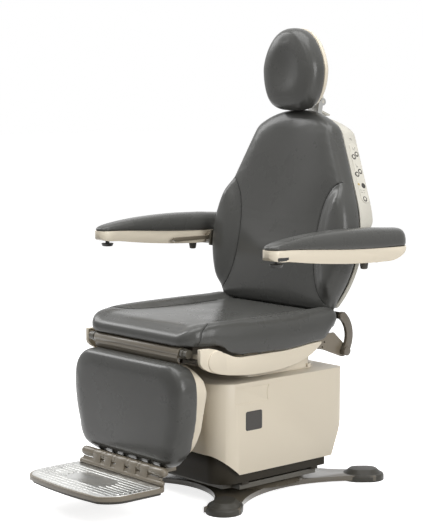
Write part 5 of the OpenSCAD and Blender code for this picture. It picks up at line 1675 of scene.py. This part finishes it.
@dataclass
class KeyPanel:
    """The strip of keys on the shoulder facet of the back: ringed domes, a lens and small plain pictures.

    Places on the facet are (up, rearward) in metres. Pictures are polylines of such offsets in millimetres.
    """

    inset: float = 0.005
    panel_top: float = 0.0012
    ring: float = 0.0081
    dome: float = 0.0052
    cap_share: float = 0.94
    cap_rise: float = 1.5 * MM
    cap_foot: float = 0.3 * MM
    stroke_r: float = 0.42 * MM
    stroke_lift: float = 0.05 * MM
    keys: tuple[tuple[str, float, float], ...] = (
        ("key_lift_up", 0.1505, 0.0675), ("key_lift_down", 0.1395, 0.0525), ("key_back_up", 0.0945, 0.0655),
        ("key_back_down", 0.0835, 0.0505), ("key_exit", 0.049, 0.066), ("key_stop", 0.006, 0.060),
    )
    lens_at: tuple[float, float] = (0.051, 0.0475)
    chair_lines: tuple = (((4.5, -3.5), (-2, -1.5), (-2.5, 4.0)), ((-4.5, -2.5), (-4.5, 4.5)))
    arrow_lines: tuple = (((-1.5, 7.5), (4, 7.5)), ((1.5, 5.8), (4, 7.5), (1.5, 9.2)))
    top_lines: tuple = (((0, -6), (2.5, -2), (2.5, 3)), ((0, -1), (-2, 5)))
    high_rule: tuple = (((0, -11), (0, -3)), ((0, 1), (0, 10)))
    low_rule: tuple = (((0, -10), (0, 2)), ((0, 5), (0, 9)))

    def facet(self) -> Place:
        """Frame of the facet, from the end of the bulge: p = low + s (-sin a, cos a) + h (cos a, sin a).

        Returns:
            Function that takes rows of (up the facet, rearward, outward) to the chair's frame.
        """
        pad = BackPad()
        turn = pad.shoulder_turn()
        out = np.array([math.cos(turn), math.sin(turn)])
        along = np.array([-out[1], out[0]])
        low = np.array(pad.bulge) + (pad.bulge_r - self.inset) * out

        def place(points: np.ndarray) -> np.ndarray:
            """Takes facet rows to the chair's frame.

            Args:
                points: Rows of (along the facet, across, out of it).

            Returns:
                The same points in the chair's frame.
            """
            s, w, h = points.T
            flat = low + s[:, None] * along + h[:, None] * out
            return LAYOUT.from_back(np.stack([flat[:, 0], w, flat[:, 1]], 1))

        return place

    def collar(self) -> np.ndarray:
        """Profile of the ring round a key: up its outer side, over its rounded rim and down beside the dome.

        Returns:
            Closed rows of radius and height.
        """
        ring, dome, top = self.ring, self.dome, self.panel_top
        return np.array([
            [dome, -2 * MM], [ring - 0.6 * MM, -2 * MM], [ring, -0.2 * MM], [ring, top + 0.5 * MM],
            [ring - 0.4 * MM, top + 0.9 * MM], [dome + 0.3 * MM, top + 0.9 * MM],
            [dome, top + 0.4 * MM], [dome, -2 * MM],
        ])

    def cap(self) -> np.ndarray:
        """Profile of a key: a quarter ellipse over a straight stem.

        Returns:
            Rows of radius and height, from the top down.
        """
        angle, radius = np.radians(np.linspace(90, 0, 9)), self.dome * self.cap_share
        dome = np.c_[radius * np.cos(angle), self.panel_top + self.cap_foot + self.cap_rise * np.sin(angle)]
        return np.vstack([dome, [[radius, -5 * MM], [SPECK, -5 * MM]]])

    def lens(self) -> np.ndarray:
        """Profile of the small lens: a low dome over the panel's top, written in millimetres."""
        top, speck = self.panel_top / MM, SPECK / MM
        return np.array([[speck, top + 1.6], [2.4, top + 1.4], [3.6, top + 0.6], [4.0, -1], [speck, -1]]) * MM

    def turned(self, name: str, at: tuple[float, float], rows: np.ndarray, place: Place) -> bpy.types.Object:
        """Turned piece standing on the facet at one place, from rows of radius and height."""
        foot, tip = place(np.array([[*at, 0.0], [*at, 1.0]]))
        return lathe(name, rows, Vector(foot), Vector(tip - foot))

    def strokes(self, name: str, lines: tuple, at: tuple[float, float], place: Place) -> bpy.types.Object:
        """Small picture of plain strokes, printed on the panel round one place.

        Args:
            name: Name of the picture.
            lines: Polylines of (up, rearward) offsets in millimetres.
            at: Middle of the picture on the facet.
            place: Takes facet rows to the chair's frame.

        Returns:
            The strokes as one piece.
        """
        made = []
        for number, line in enumerate(lines):
            flat = np.array(line) * MM + np.array(at)
            path = resample(np.c_[flat, np.full(len(flat), self.panel_top + self.stroke_lift)], 14)
            made.append(tube(f"{name}_{number}", place(path), self.stroke_r, 6))
        return joined(name, made)

    def build(self, shop: Workshop) -> None:
        """Makes the keys and the pictures.

        Args:
            shop: Where pieces are dressed and seated.
        """
        place, finish = self.facet(), shop.finishes
        for node, s, w in self.keys:
            shop.fit(self.turned(f"{node}_rim", (s, w), self.collar(), place), finish.ink, "back")
            pushed = self.turned(f"{node}_cap", (s, w), self.cap(), place)
            shop.fit(pushed, finish.ink if node == "key_exit" else finish.panel, shop.home[node])
            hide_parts(node)
        shop.fit(self.turned("panel_lens", self.lens_at, self.lens(), place), finish.tan, "back")
        for name, at, lines in (
            ("mark_lift", (0.168, 0.058), self.chair_lines + self.arrow_lines),
            ("mark_back", (0.112, 0.056), self.chair_lines),
            ("mark_panel_top", (0.197, 0.056), self.top_lines),
            ("mark_rule_high", (0.033, 0.057), self.high_rule),
            ("mark_rule_low", (0.026, 0.057), self.low_rule),
        ):
            shop.fit(self.strokes(name, lines, at, place), finish.ink, "back")


@dataclass
class Back:
    """Links and shell of the back, and the headrest's shell, link and lever."""

    def build(self, shop: Workshop) -> None:
        """Dresses the back.

        Args:
            shop: Where pieces are dressed and seated.
        """
        finish = shop.finishes
        shop.soften("back_links", finish.link, 1.2 * MM)
        shop.soften("back_shell", finish.ivory, 1.5 * MM)
        shop.soften("headrest_shell", finish.beige, 1.0 * MM)
        shop.repaint(["key_panel"], finish.panel)
        shop.repaint(["back_frame", "arm_brackets"], finish.dark_metal)
        shop.repaint(["headrest_post"], finish.steel)
        shop.repaint(["headrest_link", "headrest_lever"], finish.ivory)


@dataclass
class Arms:
    """Arm shells, rails and knobs, with the rubber of the stops and black plates of painted shade in the
    knobs' slots.
    """

    centre: float = 0.370
    stop_at: tuple[float, float] = (0.116, 0.655)
    stop_sunk: float = 1 * MM
    stop_top: float = 20.5
    stop_profile: tuple[tuple[float, float], ...] = (
        (7, 0), (9, 0.8), (10.2, 3), (11.6, 12), (12, 19), (11, 20.5), (9.6, 20.5),
    )
    slot_at: tuple[float, float] = (-0.221, 0.7075)
    slot_out: float = 21.6 * MM
    # Black plate of painted shade in the outer mouth of the knob's slot
    slot_shade_length: float = 40.8 * MM
    slot_shade_height: float = 10.0 * MM
    slot_shade_corner: float = 3.4 * MM
    slot_shade_lift: tuple[tuple[float, float], ...] = ((0, 0), (0, 7.2), (0.6, 8.0), (2.6, 8.0))

    def stop(self, shop: Workshop, side: str, sign: int) -> None:
        """Turned rubber buffer round the foot of the arm's stop: a cone with a rounded foot.

        Args:
            shop: Where pieces are dressed and seated.
            side: Word for the side.
            sign: 1 on the patient's left, -1 on the right.
        """
        speck = SPECK / MM
        profile = np.array([(speck, 0), *self.stop_profile, (speck, self.stop_top)]) * MM
        foot = LAYOUT.world(np.array([sign * self.centre, *self.stop_at])) - [0, 0, self.stop_sunk]
        made = lathe(f"arm_stop_{side}", profile, Vector(foot), Vector((0, 0, 1)))
        shop.fit(made, shop.finishes.rubber, shop.home[f"arm_rail_{side}"])

    def slot_shade(self, shop: Workshop, side: str, sign: int) -> None:
        """Black rounded plate in the outer mouth of the knob's slot: painted shade of the slot's dark
        opening.

        Args:
            shop: Where pieces are dressed and seated.
            side: Word for the side.
            sign: 1 on the patient's left, -1 on the right.
        """

        def outer(points: np.ndarray) -> np.ndarray:
            """Takes plate rows to the arm's outer side.

            Args:
                points: Rows of (along the arm, up, outward).

            Returns:
                The same points in the chair's frame.
            """
            u, v, h = points.T
            x = self.centre + self.slot_out + h
            return LAYOUT.world(np.stack([sign * x, self.slot_at[0] + sign * u, self.slot_at[1] + v], 1))

        # The black plate paints the shade inside the slot
        outline = rounded_rectangle(self.slot_shade_length, self.slot_shade_height, self.slot_shade_corner, 6)
        made = outline_plate(f"arm_slot_{side}", outline, np.array(self.slot_shade_lift) * MM, outer)
        shop.fit(made, shop.finishes.black, shop.home[f"arm_rail_{side}"])

    def build(self, shop: Workshop) -> None:
        """Dresses both arms.

        Args:
            shop: Where pieces are dressed and seated.
        """
        finish = shop.finishes
        for side, sign in (("left", 1), ("right", -1)):
            shop.soften(f"arm_shell_{side}", finish.beige, 1.0 * MM)
            shop.soften(f"arm_rail_{side}", finish.taupe, 1.0 * MM)
            shop.soften(f"arm_knob_{side}", finish.black, 1.5 * MM)
            self.stop(shop, side, sign)
            # Black plate of painted shade in the knob's slot
            self.slot_shade(shop, side, sign)


@dataclass
class Legrest:
    """Legrest frame and shell, and the folding footplate."""

    apron_half: float = 0.183
    apron_line: tuple[tuple[float, float], ...] = (
        (-0.4085, 0.4455), (-0.4095, 0.437), (-0.4060, 0.427), (-0.4005, 0.418), (-0.3975, 0.408),
    )
    sheet: float = 0.0022
    bar_at: tuple[float, float] = (-0.460, 0.103)
    pin_at: tuple[float, float] = (-0.450, 0.128)
    web_thick: float = 0.0065
    web_top: float = 0.9
    web_crown: float = 0.5 * MM
    web_clear: float = 0.0148
    web_half: float = 0.172

    def build(self, shop: Workshop) -> None:
        """Dresses the legrest and the footplate.

        Args:
            shop: Where pieces are dressed and seated.
        """
        finish = shop.finishes
        shop.soften("leg_frame", finish.taupe, 0.8 * MM)
        shop.soften("leg_shell", finish.beige, 1.2 * MM)
        shop.soften("footrest_tray", finish.taupe, 1.2 * MM)
        shop.soften("footrest_tread", finish.aluminium, 0.5 * MM)
        shop.soften("footrest_bumper", finish.rubber, 1.5 * MM)
        shop.fit(self.across("legrest_apron", self.apron(), self.apron_half), finish.taupe, "legrest")
        rib = self.across("footrest_web", self.web(), self.web_half)
        shop.fit(rib, finish.taupe, shop.home["footrest_tray"])

    def across(self, name: str, outline: np.ndarray, half: float) -> bpy.types.Object:
        """Side outline carried across the chair: point = (x, outline), with its long edges left sharp.

        Args:
            name: Name of the piece.
            outline: Closed outline in rows of (along, up), from the swivel axis.
            half: How far the piece reaches to each side.

        Returns:
            The closed piece.
        """
        sections = [np.c_[np.full(len(outline), x), outline] for x in np.linspace(-half, half, 25)]
        made = ringed(name, LAYOUT.world(np.stack(sections)))
        made.data.set_sharp_from_angle(angle=FOLD_EDGE)
        return made

    def web(self) -> np.ndarray:
        """Side outline of the rib under the hinge, from the footplate's bar to just short of the barrels.

        Returns:
            The closed outline.
        """
        bar, pin = np.array(self.bar_at), np.array(self.pin_at)
        rise = (pin - bar) / np.linalg.norm(pin - bar)
        aside = np.array([rise[1], -rise[0]]) * self.web_thick
        top = pin - rise * self.web_clear
        crown, narrow = top + rise * self.web_crown, aside * self.web_top
        return np.array([bar + aside, top + narrow, crown, top - narrow, bar - aside])

    def apron(self) -> np.ndarray:
        """Side outline of the folded sheet between the pivot tube and the pad's top edge.

        Returns:
            The closed outline.
        """
        front = spline(np.array(self.apron_line), 16)
        return np.vstack([front, (front + np.array([self.sheet, 0]))[::-1]])


# Studio


@dataclass(frozen=True)
class Lamp:
    """One soft rectangular lamp: where it stands, its width and height, and its power in watts."""

    name: str
    place: tuple[float, float, float]
    size: tuple[float, float]
    power: float


@dataclass(frozen=True)
class Studio:
    """Camera at the photograph's angle, white floor and soft light."""

    azimuth: float = 49.0
    pitch: float = 6.6
    distance: float = 4.45
    focal_px: float = 1519.0
    frame_px: float = 532.0
    sensor: float = 36.0
    far: float = 60.0
    aim_side: float = -0.096
    aim_z: float = 0.639
    floor_half: float = 30.0
    floor_glow: float = 0.78
    floor_tone: Colour = (0.94, 0.94, 0.94)
    bounce_tone: Colour = (0.52, 0.51, 0.49)
    floor_roughness: float = 0.9
    ambient: float = 0.28
    lamp_aim: tuple[float, float, float] = (0.0, 0.0, 0.6)
    lamps: tuple[Lamp, ...] = (
        Lamp("overhead", (0.1, -0.15, 3.4), (2.6, 2.2), 84),
        Lamp("left_rim", (-2.7, -0.8, 2.7), (1.2, 2.0), 48),
        Lamp("right_key", (3.3, 0.0, 1.6), (1.6, 2.0), 74),
        Lamp("front_fill", (0.2, -2.4, 3.3), (1.6, 1.2), 14),
    )

    def build(self) -> None:
        """Sets up everything round the object."""
        scene = bpy.context.scene
        scene.view_settings.view_transform = "Standard"
        self.camera(scene)
        self.floor()
        self.world(scene)
        for lamp in self.lamps:
            self.light(scene, lamp)

    def camera(self, scene: bpy.types.Scene) -> None:
        """Camera that looks along the fitted direction.

        Args:
            scene: Scene whose camera it becomes.
        """
        a, e = math.radians(self.azimuth), math.radians(self.pitch)
        back = Vector((math.sin(a) * math.cos(e), -math.cos(a) * math.cos(e), math.sin(e)))
        right = Vector((math.cos(a), math.sin(a), 0))
        data = bpy.data.cameras.new("camera")
        data.sensor_width = self.sensor
        data.lens = self.focal_px / self.frame_px * self.sensor
        data.clip_end = self.far
        eye = bpy.data.objects.new("camera", data)
        eye.location = Vector((0, LAYOUT.axis_y, self.aim_z)) + right * self.aim_side + back * self.distance
        eye.rotation_euler = (-back).to_track_quat("-Z", "Y").to_euler()
        scene.collection.objects.link(eye)
        scene.camera = eye

    def seen(self, tree: bpy.types.NodeTree, share: float) -> bpy.types.NodeSocket:
        """Camera + glossy + transmission rays, at most 1, times the share: the rays that show a surface.

        Args:
            tree: Node tree to add to.
            share: What the sum is multiplied by.

        Returns:
            The socket with the value.
        """
        path = add_node(tree, "LightPath", {}).outputs
        direct = add_node(tree, "Math", {0: path["Is Camera Ray"], 1: path["Is Glossy Ray"]}, operation="ADD")
        rays = {0: direct.outputs[0], 1: path["Is Transmission Ray"]}
        every = add_node(tree, "Math", rays, operation="ADD", use_clamp=True)
        return add_node(tree, "Math", {0: every.outputs[0], 1: share}, operation="MULTIPLY").outputs[0]

    def floor(self) -> None:
        """Large floor, white where nothing shades it and darker for the light that it bounces."""
        half = self.floor_half
        corners = np.array([[-half, -half, 0], [half, -half, 0], [half, half, 0], [-half, half, 0]])
        ground = mesh_object("floor", corners, [[0, 1, 2, 3]])
        material = bpy.data.materials.new("floor_white")
        material.use_nodes = True
        tree = material.node_tree
        shader = tree.nodes["Principled BSDF"]
        tones = {"Factor": self.seen(tree, 1.0), "A": linear(self.bounce_tone), "B": linear(self.floor_tone)}
        tint = add_node(tree, "Mix", tones, data_type="RGBA")
        tree.links.new(tint.outputs["Result"], shader.inputs["Base Color"])
        shader.inputs["Roughness"].default_value = self.floor_roughness
        shader.inputs["Specular IOR Level"].default_value = 0.0
        glow = add_node(tree, "Emission", {"Strength": self.seen(tree, self.floor_glow)})
        both = add_node(tree, "AddShader", {0: shader.outputs[0], 1: glow.outputs[0]})
        tree.links.new(both.outputs[0], tree.nodes["Material Output"].inputs["Surface"])
        ground.data.materials.append(material)

    def light(self, scene: bpy.types.Scene, lamp: Lamp) -> None:
        """Places one lamp, aimed at the middle of the chair.

        Args:
            scene: Scene that it lights.
            lamp: The lamp.
        """
        data = bpy.data.lights.new(lamp.name, "AREA")
        data.shape = "RECTANGLE"
        data.size, data.size_y = lamp.size
        data.energy = lamp.power
        made = bpy.data.objects.new(lamp.name, data)
        made.location = lamp.place
        made.rotation_euler = (Vector(self.lamp_aim) - Vector(lamp.place)).to_track_quat("-Z", "Y").to_euler()
        scene.collection.objects.link(made)

    def world(self, scene: bpy.types.Scene) -> None:
        """Pale world that lights weakly from all round and shows white.

        Args:
            scene: Scene whose world is set.
        """
        world = bpy.data.worlds.new("studio")
        world.use_nodes = True
        tree = world.node_tree
        plain = tree.nodes["Background"]
        plain.inputs["Color"].default_value = (1, 1, 1, 1)
        plain.inputs["Strength"].default_value = self.ambient
        white = add_node(tree, "Background", {"Color": (1, 1, 1, 1), "Strength": 1.0})
        choices = {0: self.seen(tree, 1.0), 1: plain.outputs[0], 2: white.outputs[0]}
        choose = add_node(tree, "MixShader", choices)
        tree.links.new(choose.outputs[0], tree.nodes["World Output"].inputs["Surface"])
        scene.world = world


def main() -> None:
    """Builds the looks of the whole chair."""
    logging.basicConfig(level=logging.INFO, format="%(name)s: %(message)s")
    shop = Workshop(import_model())
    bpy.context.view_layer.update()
    Studio().build()
    for part in (Base(), Lift(), Back(), KeyPanel(), Arms(), Legrest(), Upholstery()):
        LOG.info("building %s", type(part).__name__)
        part.build(shop)


if __name__ == "__main__":
    main()
